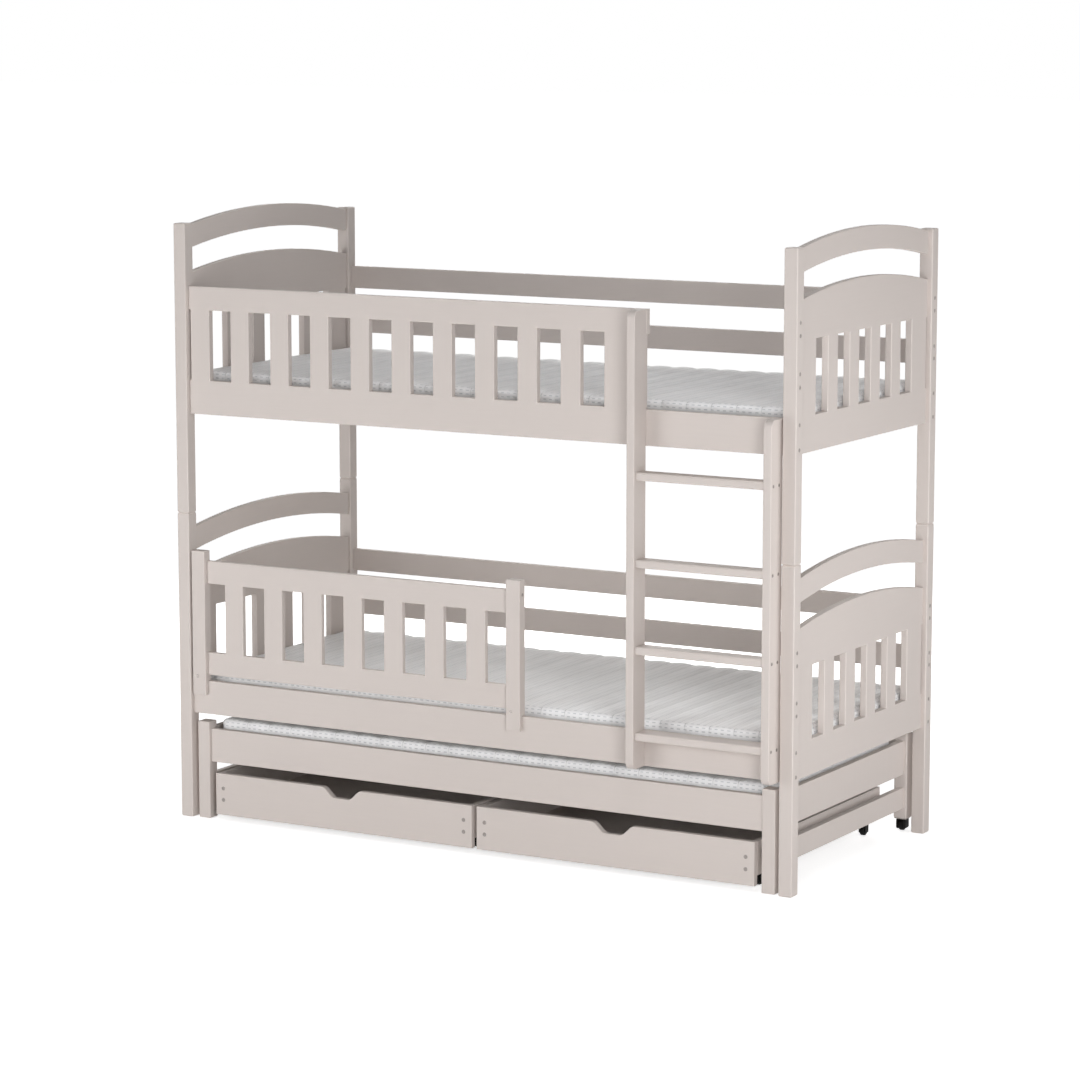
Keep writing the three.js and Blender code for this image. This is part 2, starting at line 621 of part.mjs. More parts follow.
// Lower guard: a slatted panel between two stiles that lap over the side rail.
function lowerGuard(bed) {
  const panelLength = LOW_GUARD_FIRST_OPENING
    + (LOW_GUARD_OPENINGS - 1) * GUARD_OPENING_PITCH;
  const left = -INNER_END + LOW_GUARD_POST_GAP + LOW_GUARD_STILE;
  const right = left + panelLength;
  const bottom = OPENING_BOTTOM + LOW_GUARD_PANEL_LIFT;
  const openingBottom = bottom + LOW_GUARD_RAIL_HEIGHT;
  const openingTop = openingBottom + LOW_GUARD_OPENING_HEIGHT;
  const top = openingTop + LOW_GUARD_RAIL_HEIGHT;

  const lap = FRONT_BOARD - FIT;
  const back = FRONT + LOW_GUARD_STILE_DEPTH;
  const section = [
    [FRONT, OPENING_BOTTOM - LOW_GUARD_STILE_DROP],
    [lap, OPENING_BOTTOM - LOW_GUARD_STILE_DROP],
    [lap, OPENING_BOTTOM + FIT],
    [back, OPENING_BOTTOM + FIT],
    [back, top + LOW_GUARD_STILE_RISE],
    [FRONT, top + LOW_GUARD_STILE_RISE],
  ];
  for (const [sideName, from] of [['left', left - LOW_GUARD_STILE], ['right', right]]) {
    const screw = [from + LOW_GUARD_SCREW_INSET, FRONT, section[0][1] + LOW_GUARD_SCREW_RISE];
    const blank = board('x', from, from + LOW_GUARD_STILE, section);
    const cut = seated(blank, 'y', [screw], SCREW_SEAT_RADIUS);
    piece(bed, `lower_guard_stile_${sideName}`, cut, paint);
  }

  const start = left + FIT;
  const end = right - FIT;
  const firstSlat = left + LOW_GUARD_FIRST_OPENING;
  const lastSlatEnd = right - GUARD_OPENING_WIDTH;
  const corners = rectangle(start, bottom, end, top);
  const slatWidth = GUARD_OPENING_PITCH - GUARD_OPENING_WIDTH;
  const openings = Array.from({ length: LOW_GUARD_OPENINGS - 2 }, (_, i) => {
    const x = firstSlat + slatWidth + i * GUARD_OPENING_PITCH;
    return rectangle(x, openingBottom, x + GUARD_OPENING_WIDTH, openingTop);
  });
  openings.push(rectangle(start - LOW_GUARD_STILE, openingBottom, firstSlat, openingTop));
  openings.push(rectangle(lastSlatEnd, openingBottom, end + LOW_GUARD_STILE, openingTop));
  const panel = board('y', back - LOW_GUARD_PANEL_BOARD, back, corners, { openings });
  piece(bed, 'lower_guard_panel', panel, paint);
}

// Wheels

// Turns about X at its own centre, with a point of its rim straight below the axle.
function wheel() {
  const bore = AXLE_RADIUS + WHEEL_FIT;
  const half = WHEEL_WIDTH / 2;
  const profile = [[bore, -half], [WHEEL_RADIUS, -half], [WHEEL_RADIUS, half], [bore, half], [bore, -half]];
  const geometry = new THREE.LatheGeometry(profile.map(([r, x]) => new THREE.Vector2(r, x)), WHEEL_STEPS);
  return geometry.rotateZ(Math.PI / 2);
}

// Two cheeks under a plate, with the axle between them; centred on the wheel, its plate up to top.
function fork(top) {
  const inner = WHEEL_WIDTH / 2 + CHEEK_FIT;
  const outer = inner + CHEEK;
  const foot = CHEEK_FOOT - WHEEL_RADIUS;
  const arms = run('y', -CHEEK_DEPTH / 2, CHEEK_DEPTH / 2, [
    [-outer, foot], [-inner, foot], [-inner, top - FORK_TOP], [inner, top - FORK_TOP],
    [inner, foot], [outer, foot], [outer, top], [-outer, top],
  ]);
  const axle = new THREE.CylinderGeometry(AXLE_RADIUS, AXLE_RADIUS, 2 * outer - CHEEK, WHEEL_STEPS);
  return [arms, axle.rotateZ(Math.PI / 2)];
}

// Trundle

// Two legs and two rails glued into one frame; the back leg stops above its caster.
function trundleEndFrame() {
  const half = POST / 2;
  const section = rectangle(-half, -half, half, half, POST_EDGE);
  const leg = (foot, y) => board('z', foot, TRUNDLE_LEG_TOP, section).translate(0, y + half, 0);
  const endRail = (bottom, top) => run(
    'y', TRUNDLE_LEG_FRONT + POST - TRUNDLE_GLUE_DEPTH, TRUNDLE_LEG_BACK + TRUNDLE_GLUE_DEPTH,
    rectangle(-BOARD / 2, bottom, BOARD / 2, top, BOARD_EDGE),
  );
  const stretcherTop = TRUNDLE_RAIL_BOTTOM - TRUNDLE_STRETCHER_GAP;
  return joined([
    leg(0, TRUNDLE_LEG_FRONT),
    leg(WHEEL_HEAD + FIT, TRUNDLE_LEG_BACK),
    endRail(TRUNDLE_RAIL_BOTTOM, TRUNDLE_RAIL_BOTTOM + RAIL_HEIGHT),
    endRail(stretcherTop - TRUNDLE_STRETCHER_HEIGHT, stretcherTop),
  ]);
}

// A plate and fork, drawn round the wheel's centre.
function casterHousing() {
  const half = CASTER_PLATE / 2;
  const top = WHEEL_HEAD - WHEEL_RADIUS;
  return joined([block(-half, -half, top - FORK_TOP, half, half, top), ...fork(top - FORK_INSET)]);
}

function trundle(bed) {
  const casterY = TRUNDLE_LEG_BACK + POST / 2;
  for (const [sideName, side] of SIDES) {
    const x = side * (TRUNDLE_END - POST / 2);
    const housing = casterHousing();
    piece(bed, `trundle_end_frame_${sideName}`, trundleEndFrame(), paint, x);
    piece(bed, `trundle_caster_housing_${sideName}`, housing, blackPlastic, x, casterY, WHEEL_RADIUS);
    piece(bed, `trundle_caster_wheel_${sideName}`, wheel(), blackPlastic, x, casterY, WHEEL_RADIUS);
  }
  const half = TRUNDLE_END - POST - FIT;
  const frontFace = TRUNDLE_LEG_FRONT + TRUNDLE_RAIL_RECESS;
  const backFace = BACK - TRUNDLE_RAIL_RECESS;
  const near = frontFace + BOARD;
  const far = backFace - BOARD;
  piece(bed, 'trundle_front_rail', cleatedRail(half, frontFace, 1, TRUNDLE_RAIL_BOTTOM), paint);
  piece(bed, 'trundle_back_rail', cleatedRail(half, backFace, -1, TRUNDLE_RAIL_BOTTOM), paint);
  const base = slattedBase(2 * half, near, far, TRUNDLE_RAIL_BOTTOM);
  piece(bed, 'trundle_slatted_base', base, bareWood);
  const length = 2 * (TRUNDLE_END - POST / 2 - BOARD / 2 - TRUNDLE_MATTRESS_GAP);
  const bedding = mattress(length, far - near - 2 * TRUNDLE_MATTRESS_GAP);
  const seat = TRUNDLE_RAIL_BOTTOM + MATTRESS_SEAT;
  piece(bed, 'trundle_mattress', bedding, ticking, 0, (near + far) / 2, seat);
}

// Drawers, each drawn round X zero

// The front board, with a hand notch in the middle of its top edge and two plug seats at each end.
function drawerFront() {
  const half = DRAWER_WIDTH / 2;
  const mouth = NOTCH_TOP_WIDTH / 2;
  const foot = NOTCH_FOOT_WIDTH / 2;
  const blank = board('y', TRUNDLE_LEG_FRONT, DRAWER_NEAR, [
    [-half, DRAWER_BOTTOM],
    [half, DRAWER_BOTTOM],
    [half, DRAWER_TOP],
    [mouth, DRAWER_TOP, NOTCH_ROUND],
    [foot, DRAWER_TOP - NOTCH_DEPTH, NOTCH_ROUND],
    [-foot, DRAWER_TOP - NOTCH_DEPTH, NOTCH_ROUND],
    [-mouth, DRAWER_TOP, NOTCH_ROUND],
    [-half, DRAWER_TOP],
  ]);
  const plugs = [-1, 1].flatMap((side) => [-1, 1].map((row) => (
    [side * (half - PLUG_INSET), TRUNDLE_LEG_FRONT, DRAWER_TOP - PLUG_DROP + (row * PLUG_SPREAD) / 2]
  )));
  return seated(blank, 'y', plugs);
}

// Sides, back, bottom panel and the wheel forks under it, as one glued tray; the front reaches lower.
function drawerTray() {
  const half = DRAWER_WIDTH / 2;
  const inner = half - DRAWER_SIDE;
  const near = DRAWER_NEAR + FIT;
  const far = DRAWER_FAR;
  const innerFar = far - DRAWER_SIDE;
  const bottom = DRAWER_BOTTOM + DRAWER_SIDE_LIFT;
  const top = DRAWER_TOP - DRAWER_SIDE_DROP;
  const grooved = inner + DRAWER_PANEL_GROOVE;
  const panel = bottom + DRAWER_PANEL_LIFT;
  const parts = [
    block(-half, near, bottom, -inner, far, top),
    block(inner, near, bottom, half, far, top),
    block(-grooved, innerFar, bottom, grooved, far, top),
    block(-grooved, near, panel, grooved, innerFar + DRAWER_PANEL_GROOVE, panel + DRAWER_PANEL),
  ];
  for (const [, x, y] of drawerWheels()) {
    const set = fork(panel + FORK_INSET - WHEEL_RADIUS);
    parts.push(...set.map((geometry) => geometry.translate(x, y, WHEEL_RADIUS)));
  }
  return joined(parts);
}

// The name and place of each wheel.
function drawerWheels() {
  const reach = DRAWER_WIDTH / 2 - DRAWER_WHEEL_INSET;
  const rows = [
    ['front', DRAWER_NEAR + DRAWER_WHEEL_FRONT_INSET],
    ['back', DRAWER_FAR - DRAWER_WHEEL_BACK_INSET],
  ];
  return rows.flatMap(([rowName, y]) => (
    SIDES.map(([sideName, side]) => [`wheel_${rowName}_${sideName}`, side * reach, y])
  ));
}

function drawers(bed) {
  for (const [drawerName, drawerSide] of SIDES) {
    const drawer = new THREE.Group();
    drawer.position.x = drawerSide * (DRAWER_WIDTH + DRAWER_GAP) / 2;
    bed.add(drawer);
    piece(drawer, `drawer_${drawerName}_front`, drawerFront(), paint);
    piece(drawer, `drawer_${drawerName}_tray`, drawerTray(), paint);
    for (const [wheelName, x, y] of drawerWheels()) {
      piece(drawer, `drawer_${drawerName}_${wheelName}`, wheel(), blackPlastic, x, y, WHEEL_RADIUS);
    }
  }
}

const bed = new THREE.Group();
posts(bed);
bunk(bed, 'lower', 0);
bunk(bed, 'upper', UNIT_RISE);
ladder(bed);
lowerGuard(bed);
trundle(bed);
drawers(bed);

export default bed;
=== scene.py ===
# Bunk bed with a pull-out trundle bed and two wheeled drawers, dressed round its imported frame.
# Lengths are metres. X runs along the bed, Y from the ladder side to the wall side, Z up.
import json
import math

import bmesh
import bpy
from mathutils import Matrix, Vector, noise


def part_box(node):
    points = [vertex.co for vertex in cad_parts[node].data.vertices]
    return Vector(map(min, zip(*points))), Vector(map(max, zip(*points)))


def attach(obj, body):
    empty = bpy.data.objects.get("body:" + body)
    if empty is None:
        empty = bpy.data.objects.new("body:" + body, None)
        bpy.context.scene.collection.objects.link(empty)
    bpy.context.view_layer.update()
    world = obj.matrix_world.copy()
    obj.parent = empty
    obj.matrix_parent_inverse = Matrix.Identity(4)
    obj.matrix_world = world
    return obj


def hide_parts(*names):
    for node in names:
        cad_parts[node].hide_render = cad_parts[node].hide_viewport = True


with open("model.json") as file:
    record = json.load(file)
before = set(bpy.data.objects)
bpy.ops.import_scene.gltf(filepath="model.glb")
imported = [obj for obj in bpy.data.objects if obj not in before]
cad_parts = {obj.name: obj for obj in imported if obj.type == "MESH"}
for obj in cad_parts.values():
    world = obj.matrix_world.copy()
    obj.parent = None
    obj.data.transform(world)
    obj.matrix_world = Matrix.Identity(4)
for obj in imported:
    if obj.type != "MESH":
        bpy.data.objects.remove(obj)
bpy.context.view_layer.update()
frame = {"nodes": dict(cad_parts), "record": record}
nodes = frame["nodes"]


# Studio
# The bed stands alone on a pale floor in front of a white wall of light.
# The camera looks at the ladder side from the right, a little from above.
CAMERA_PLACE = Vector((5.1854, -9.0715, 2.4257))
CAMERA_TURN = math.radians(29.869)
CAMERA_TILT = math.radians(8.662)
CAMERA_LENS = 123.28
FLOOR_REACH = 60.0
FLOOR_DROP = 0.0005
FLOOR_GREY = 0.8
FLOOR_GLOW = 0.68
GLOW_RISE = (1.2, 3.0)
WORLD_LIGHT = 0.04


def placed(name, data):
    """A new object in the scene that shows the given mesh, lamp or camera."""
    made = bpy.data.objects.new(name, data)
    bpy.context.scene.collection.objects.link(made)
    return made


camera_data = bpy.data.cameras.new("camera")
camera_data.lens = CAMERA_LENS
camera_data.clip_end = 200.0
camera = placed("camera", camera_data)
camera.location = CAMERA_PLACE
camera.rotation_euler = (math.pi / 2 - CAMERA_TILT, 0.0, CAMERA_TURN)
bpy.context.scene.camera = camera
bpy.context.scene.view_settings.view_transform = "Standard"


def softbox(name, place, aim, size, power):
    """A square lamp that faces the point aim; it lights the bed and isn't seen itself."""
    data = bpy.data.lights.new(name, "AREA")
    data.energy = power
    data.size = size
    lamp = placed(name, data)
    lamp.location = place
    lamp.rotation_euler = (Vector(place) - Vector(aim)).to_track_quat("Z", "Y").to_euler()
    lamp.visible_camera = False


softbox("left_light", (-1.7, -3.2, 0.65), (-0.7, 0.0, 0.85), 2.0, 58.0)
softbox("right_light", (2.4, -3.0, 0.6), (0.6, 0.0, 0.7), 1.8, 45.0)
softbox("key_light", (6.0, -6.0, 2.6), (0.2, 0.0, 0.9), 2.6, 92.0)
softbox("high_light", (1.4, -2.4, 3.9), (0.2, 0.0, 0.9), 2.0, 22.0)
softbox("top_light", (0.0, 0.2, 4.4), (0.0, 0.0, 0.9), 2.4, 24.0)
softbox("side_light", (3.2, 0.0, 1.1), (0.9, 0.1, 0.95), 1.6, 26.5)
softbox("rear_light", (-2.0, 3.4, 2.0), (0.0, 0.0, 0.9), 2.4, 105.0)


def add(tree, kind, **settings):
    """A node of the given kind with its settings."""
    node = tree.nodes.new(kind)
    for name, value in settings.items():
        setattr(node, name, value)
    return node


def link(tree, source, node, socket):
    tree.links.new(source, node.inputs[socket])


def ramp(tree, value, low, high, to_low, to_high, **settings):
    """Carries value from the range low to high over to the range to_low to to_high."""
    stage = add(tree, "ShaderNodeMapRange", **settings)
    for socket, number in zip(("From Min", "From Max", "To Min", "To Max"), (low, high, to_low, to_high)):
        stage.inputs[socket].default_value = number
    link(tree, value, stage, "Value")
    return stage.outputs["Result"]


def combined(tree, operation, first, second=0.0):
    """The result of a sum on one or two values, each a socket or a number."""
    node = add(tree, "ShaderNodeMath", operation=operation)
    for number, value in enumerate((first, second)):
        if isinstance(value, (int, float)):
            node.inputs[number].default_value = value
        else:
            link(tree, value, node, number)
    return node.outputs[0]


def camera_ray(tree):
    """One where a ray comes from the camera, a mirror or a glass, so that these see the white studio."""
    path = add(tree, "ShaderNodeLightPath")
    seen = combined(tree, "MAXIMUM", path.outputs["Is Camera Ray"], path.outputs["Is Glossy Ray"])
    return combined(tree, "MAXIMUM", seen, path.outputs["Is Transmission Ray"])


def white_world():
    """A world that the camera sees white and that lights the bed only faintly."""
    world = bpy.data.worlds.new("studio")
    world.use_nodes = True
    bpy.context.scene.world = world
    tree = world.node_tree
    background = tree.nodes["Background"]
    background.inputs["Color"].default_value = (1.0, 1.0, 1.0, 1.0)
    link(tree, ramp(tree, camera_ray(tree), 0.0, 1.0, WORLD_LIGHT, 1.0), background, "Strength")


def white_floor():
    """A plain floor that keeps the bed's shadow; further off it reads white by its glow alone."""
    mesh = bpy.data.meshes.new("floor")
    r = FLOOR_REACH
    corners = [(-r, -r, -FLOOR_DROP), (r, -r, -FLOOR_DROP), (r, r, -FLOOR_DROP), (-r, r, -FLOOR_DROP)]
    mesh.from_pydata(corners, [], [(0, 1, 2, 3)])
    floor = placed("floor", mesh)
    material = bpy.data.materials.new("floor")
    material.use_nodes = True
    tree = material.node_tree
    tree.nodes.clear()
    diffuse = add(tree, "ShaderNodeBsdfDiffuse")
    diffuse.inputs["Color"].default_value = (FLOOR_GREY, FLOOR_GREY, FLOOR_GREY, 1.0)
    distance = add(tree, "ShaderNodeVectorMath", operation="LENGTH")
    link(tree, add(tree, "ShaderNodeTexCoord").outputs["Object"], distance, 0)
    glow = ramp(tree, distance.outputs["Value"], *GLOW_RISE, FLOOR_GLOW, 1.0,
                interpolation_type="SMOOTHSTEP")
    emission = add(tree, "ShaderNodeEmission")
    link(tree, combined(tree, "MULTIPLY", camera_ray(tree), glow), emission, "Strength")
    both = add(tree, "ShaderNodeAddShader")
    link(tree, diffuse.outputs[0], both, 0)
    link(tree, emission.outputs[0], both, 1)
    link(tree, both.outputs[0], add(tree, "ShaderNodeOutputMaterial"), "Surface")
    mesh.materials.append(material)


white_world()
white_floor()


# Painted boards and posts
# Planed solid wood, glued up where a panel needs it, sprayed in warm grey matt paint.
# Every edge is broken, and its faces carry a painted highlight, a little lighter and glossier than the
# rest; the grain shows faintly through the paint.
EDGE_ROUND = 0.0008
EDGE_ANGLE = math.radians(40)
MERGE = 0.00002
BREAK_LEAST = 0.3
BREAK_EVEN = 0.02
PAINT = (0.665, 0.604, 0.571)
GRAIN_WIDTH = 0.006
GRAIN_LENGTH = 0.16
BOARD_SHIFT = 20.0
SPRAY_CELLS = 420.0
SPRAY_HEIGHT = 0.22
PATCH_CELLS = 3.0
PAINT_TINT = (0.985, 1.012)
PAINT_ROUGH = (0.56, 0.7)
PAINT_RELIEF = 0.00008
PAINT_SHINE = 0.08
# How much glossier and lighter the paint on broken edges is: a painted highlight along the edges that
# catch the light.
EDGE_HIGHLIGHT_SHINE = 0.3
EDGE_HIGHLIGHT_LIFT = 1.1


def shader(name, roughness):
    """A new material's tree and its surface shader."""
    material = bpy.data.materials.new(name)
    material.use_nodes = True
    surface = material.node_tree.nodes["Principled BSDF"]
    surface.inputs["Roughness"].default_value = roughness
    return material, material.node_tree, surface


def scaled(tree, vector, scale):
    mapping = add(tree, "ShaderNodeMapping")
    mapping.inputs["Scale"].default_value = scale
    link(tree, vector, mapping, "Vector")
    return mapping.outputs["Vector"]


def cloud(tree, vector, scale, detail=4.0, rough=0.5, offset=None):
    """Noise from 0 to 1 at the given number of cells a unit, shifted by offset if it is given."""
    texture = add(tree, "ShaderNodeTexNoise", noise_dimensions="4D" if offset else "3D")
    texture.inputs["Scale"].default_value = scale
    texture.inputs["Detail"].default_value = detail
    texture.inputs["Roughness"].default_value = rough
    link(tree, vector, texture, "Vector")
    if offset:
        link(tree, offset, texture, "W")
    return texture.outputs["Fac"]


def mixed(tree, share, first, second):
    """A colour that goes from first to second with share; each of them is a socket or a colour."""
    mix = add(tree, "ShaderNodeMix", data_type="RGBA")
    link(tree, share, mix, "Factor")
    for socket, colour in (("A", first), ("B", second)):
        if isinstance(colour, (tuple, list)):
            mix.inputs[socket].default_value = (*[min(c, 1.0) for c in colour], 1.0)
        else:
            link(tree, colour, mix, socket)
    return mix.outputs["Result"]


def scaled_colour(colour, share):
    """The colour made darker, or lighter where share is above one."""
    return tuple(c * share for c in colour)


def bump(tree, surface, height, depth):
    """Raises the surface by height, in depths of metres."""
    node = add(tree, "ShaderNodeBump")
    node.inputs["Distance"].default_value = depth
    link(tree, height, node, "Height")
    link(tree, node.outputs["Normal"], surface, "Normal")


def tinted(tree, surface, colour, value, low, high, dark, light):
    """Colours the surface between dark and light shares of colour as value goes from low to high."""
    share = ramp(tree, value, low, high, 0.0, 1.0)
    shade = mixed(tree, share, scaled_colour(colour, dark), scaled_colour(colour, light))
    link(tree, shade, surface, "Base Color")


def grain_scale(axis):
    """Cells a metre along each axis for grain that runs along the given one."""
    return tuple(1 / GRAIN_LENGTH if a == axis else 1 / GRAIN_WIDTH for a in "xyz")


def between(tree, value, low, high):
    """One where value lies between low and high, else zero."""
    over = combined(tree, "GREATER_THAN", value, low)
    return combined(tree, "MULTIPLY", over, combined(tree, "LESS_THAN", value, high))


def painted(name, axis, upright=None, shine=PAINT_SHINE, lift=1.0):
    """Matt paint over grain along axis; between the heights of upright the grain runs up slats."""
    material, tree, surface = shader(name, 0.5)
    place = add(tree, "ShaderNodeTexCoord").outputs["Object"]
    along = scaled(tree, place, grain_scale(axis))
    if upright:
        split = add(tree, "ShaderNodeSeparateXYZ")
        link(tree, place, split, "Vector")
        turned = add(tree, "ShaderNodeMix", data_type="VECTOR")
        link(tree, between(tree, split.outputs["Z"], *upright), turned, "Factor")
        link(tree, along, turned, "A")
        link(tree, scaled(tree, place, grain_scale("z")), turned, "B")
        along = turned.outputs["Result"]
    board = combined(tree, "MULTIPLY", add(tree, "ShaderNodeObjectInfo").outputs["Random"], BOARD_SHIFT)
    grain = cloud(tree, along, 1.0, 5.0, 0.6, board)
    spray = cloud(tree, place, SPRAY_CELLS, 2.0)
    patch = cloud(tree, place, PATCH_CELLS, 3.0, 0.5, board)
    streaks, patches = ramp(tree, grain, 0.35, 0.65, 0.0, 0.5), ramp(tree, patch, 0.3, 0.7, 0.0, 0.5)
    shade = combined(tree, "ADD", streaks, patches)
    tinted(tree, surface, PAINT, shade, 0.0, 1.0, *[t * lift for t in PAINT_TINT])
    wear = ramp(tree, combined(tree, "ADD", grain, spray), 0.7, 1.3, *PAINT_ROUGH)
    link(tree, wear, surface, "Roughness")
    ridges, drops = ramp(tree, grain, 0.3, 0.7, 0.0, 1.0), ramp(tree, spray, 0.0, 1.0, 0.0, SPRAY_HEIGHT)
    bump(tree, surface, combined(tree, "ADD", ridges, drops), PAINT_RELIEF)
    surface.inputs["Specular IOR Level"].default_value = shine
    return material


def rounded(node):
    """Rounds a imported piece's broken edges and smooths its faces, without touching its own mesh."""
    mesh = node.data
    if "custom_normal" in mesh.attributes:
        mesh.attributes.remove(mesh.attributes["custom_normal"])
    mesh.shade_smooth()
    weld = node.modifiers.new("weld", "WELD")
    weld.merge_threshold = MERGE
    edge = node.modifiers.new("edge", "BEVEL")
    edge.width = EDGE_ROUND
    edge.segments = 2
    edge.limit_method = "ANGLE"
    edge.angle_limit = EDGE_ANGLE
    edge.miter_outer = "MITER_ARC"
    weight = node.modifiers.new("weight", "WEIGHTED_NORMAL")
    weight.keep_sharp = False
    weight.weight = 100


def on_broken_edge(face):
    """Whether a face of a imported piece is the 45 degree break of one of its edges."""
    sizes = sorted(abs(c) for c in face.normal)
    return sizes[1] > BREAK_LEAST and sizes[2] - sizes[1] < BREAK_EVEN


def dress(names, material, edge_highlight=None):
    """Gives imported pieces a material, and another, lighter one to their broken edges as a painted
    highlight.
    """
    for name in names:
        mesh = nodes[name].data
        mesh.materials.clear()
        mesh.materials.append(material)
        if edge_highlight:
            mesh.materials.append(edge_highlight)
            for face in mesh.polygons:
                face.material_index = int(on_broken_edge(face))
        rounded(nodes[name])


SIDES = ("left", "right")
LEVELS = ("lower", "upper")
# A lighter, glossier copy of the paint for every broken edge: a painted highlight along the edges.
EDGE_HIGHLIGHT = painted("paint_edge_highlight", "z", shine=EDGE_HIGHLIGHT_SHINE, lift=EDGE_HIGHLIGHT_LIFT)
PAINT_UPRIGHT = painted("paint_upright", "z")
PAINT_LENGTHWAYS = painted("paint_lengthways", "x")
PAINT_ACROSS = painted("paint_across", "y")

dress([f"{level}_post_{face}_{side}" for level in LEVELS for face in ("front", "back") for side in SIDES],
      PAINT_UPRIGHT, EDGE_HIGHLIGHT)
dress([f"{level}_head_rail_{side}" for level in LEVELS for side in SIDES], PAINT_ACROSS, EDGE_HIGHLIGHT)
dress([f"{level}_back_{part}" for level in LEVELS for part in ("rail", "board_top", "board_middle")]
      + ["lower_front_rail"], PAINT_LENGTHWAYS, EDGE_HIGHLIGHT)

# The slats of a panel stand between the top of the side rail and the foot of the board above it.
for level in LEVELS:
    slat_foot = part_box(f"{level}_back_rail")[1].z
    slat_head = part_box(f"{level}_back_board_top")[0].z
    dress([f"{level}_end_panel_{side}" for side in SIDES],
          painted(f"paint_{level}_end", "y", (slat_foot, slat_head)), EDGE_HIGHLIGHT)
    if level == "upper":
        dress(["upper_front_panel"], painted("paint_upper_guard", "x", (slat_foot, slat_head)), EDGE_HIGHLIGHT)


# Bolt heads
# Steel cap bolts tie every side board to its posts, two a board, each head sunk in a round seat.
BOLT_FROM_FRONT = 0.021
BOLT_INSET = 0.016
SEAT_DEPTH = 0.0025
SEAT_CLEAR = 0.00005
BOLT_RADIUS = 0.0054
BOLT_HEIGHT = 0.0017
HEX_RADIUS = 0.0029
HEX_DEPTH = 0.0012
HEX_SIDES = 6
HEAD_STEPS = 24
STEEL = (0.38, 0.345, 0.325)
STAIN_CELLS = 260.0
STEEL_ROUGH = (0.32, 0.5)
STEEL_GRAIN_CELLS = 900.0
STEEL_RELIEF = 0.00003


def steel(name, colour):
    """Dull zinc plate, a little mottled, with a fine grain."""
    material, tree, surface = shader(name, 0.4)
    place = add(tree, "ShaderNodeTexCoord").outputs["Object"]
    stain = cloud(tree, place, STAIN_CELLS, 3.0)
    tinted(tree, surface, colour, stain, 0.35, 0.65, 0.8, 1.15)
    link(tree, ramp(tree, stain, 0.3, 0.7, *STEEL_ROUGH), surface, "Roughness")
    bump(tree, surface, cloud(tree, place, STEEL_GRAIN_CELLS, 2.0), STEEL_RELIEF)
    surface.inputs["Metallic"].default_value = 0.85
    return material


def socket(tree, name, kind, value):
    made = tree.interface.new_socket(name, in_out="INPUT", socket_type=kind)
    made.default_value = value
    return made.identifier


def head_tree():
    """Turned heads with a driver's recess, one on each point, facing along the point's own vector."""
    tree = bpy.data.node_groups.new("sunk_heads", "GeometryNodeTree")
    tree.interface.new_socket("Geometry", in_out="INPUT", socket_type="NodeSocketGeometry")
    tree.interface.new_socket("Geometry", in_out="OUTPUT", socket_type="NodeSocketGeometry")
    socket(tree, "Radius", "NodeSocketFloat", 0.005)
    socket(tree, "Crown", "NodeSocketFloat", 0.0045)
    socket(tree, "Height", "NodeSocketFloat", 0.0015)
    socket(tree, "Recess Radius", "NodeSocketFloat", 0.003)
    socket(tree, "Recess Depth", "NodeSocketFloat", 0.001)
    socket(tree, "Recess Sides", "NodeSocketInt", 6)
    tree.interface.new_socket("Material", in_out="INPUT", socket_type="NodeSocketMaterial")
    sizes = add(tree, "NodeGroupInput")
    result = add(tree, "NodeGroupOutput")
    head = add(tree, "GeometryNodeMeshCone")
    head.inputs["Vertices"].default_value = HEAD_STEPS
    link(tree, sizes.outputs["Crown"], head, "Radius Top")
    link(tree, sizes.outputs["Radius"], head, "Radius Bottom")
    link(tree, sizes.outputs["Height"], head, "Depth")
    recess = add(tree, "GeometryNodeMeshCylinder")
    link(tree, sizes.outputs["Recess Sides"], recess, "Vertices")
    link(tree, sizes.outputs["Recess Radius"], recess, "Radius")
    link(tree, combined(tree, "MULTIPLY", sizes.outputs["Recess Depth"], 2.0), recess, "Depth")
    lift = add(tree, "ShaderNodeCombineXYZ")
    link(tree, sizes.outputs["Height"], lift, "Z")
    raised = add(tree, "GeometryNodeTransform")
    link(tree, recess.outputs["Mesh"], raised, "Geometry")
    link(tree, lift.outputs[0], raised, "Translation")
    cut = add(tree, "GeometryNodeMeshBoolean", operation="DIFFERENCE", solver="EXACT")
    link(tree, head.outputs["Mesh"], cut, "Mesh 1")
    link(tree, raised.outputs["Geometry"], cut, "Mesh 2")
    facing = add(tree, "GeometryNodeInputNamedAttribute", data_type="FLOAT_VECTOR")
    facing.inputs["Name"].default_value = "facing"
    turn = add(tree, "FunctionNodeAlignRotationToVector", axis="Z")
    link(tree, facing.outputs["Attribute"], turn, "Vector")
    copies = add(tree, "GeometryNodeInstanceOnPoints")
    link(tree, sizes.outputs["Geometry"], copies, "Points")
    link(tree, cut.outputs["Mesh"], copies, "Instance")
    link(tree, turn.outputs["Rotation"], copies, "Rotation")
    real = add(tree, "GeometryNodeRealizeInstances")
    link(tree, copies.outputs["Instances"], real, "Geometry")
    finish = add(tree, "GeometryNodeSetMaterial")
    link(tree, real.outputs["Geometry"], finish, "Geometry")
    link(tree, sizes.outputs["Material"], finish, "Material")
    link(tree, finish.outputs["Geometry"], result, "Geometry")
    return tree


HEADS = head_tree()


def plain_mesh(piece, name):
    """The evaluated shape of a piece as a plain object in its place."""
    bpy.context.view_layer.update()
    shape = bpy.data.meshes.new_from_object(piece.evaluated_get(bpy.context.evaluated_depsgraph_get()))
    shape.name = name
    bpy.data.objects.remove(piece)
    return placed(name, shape)


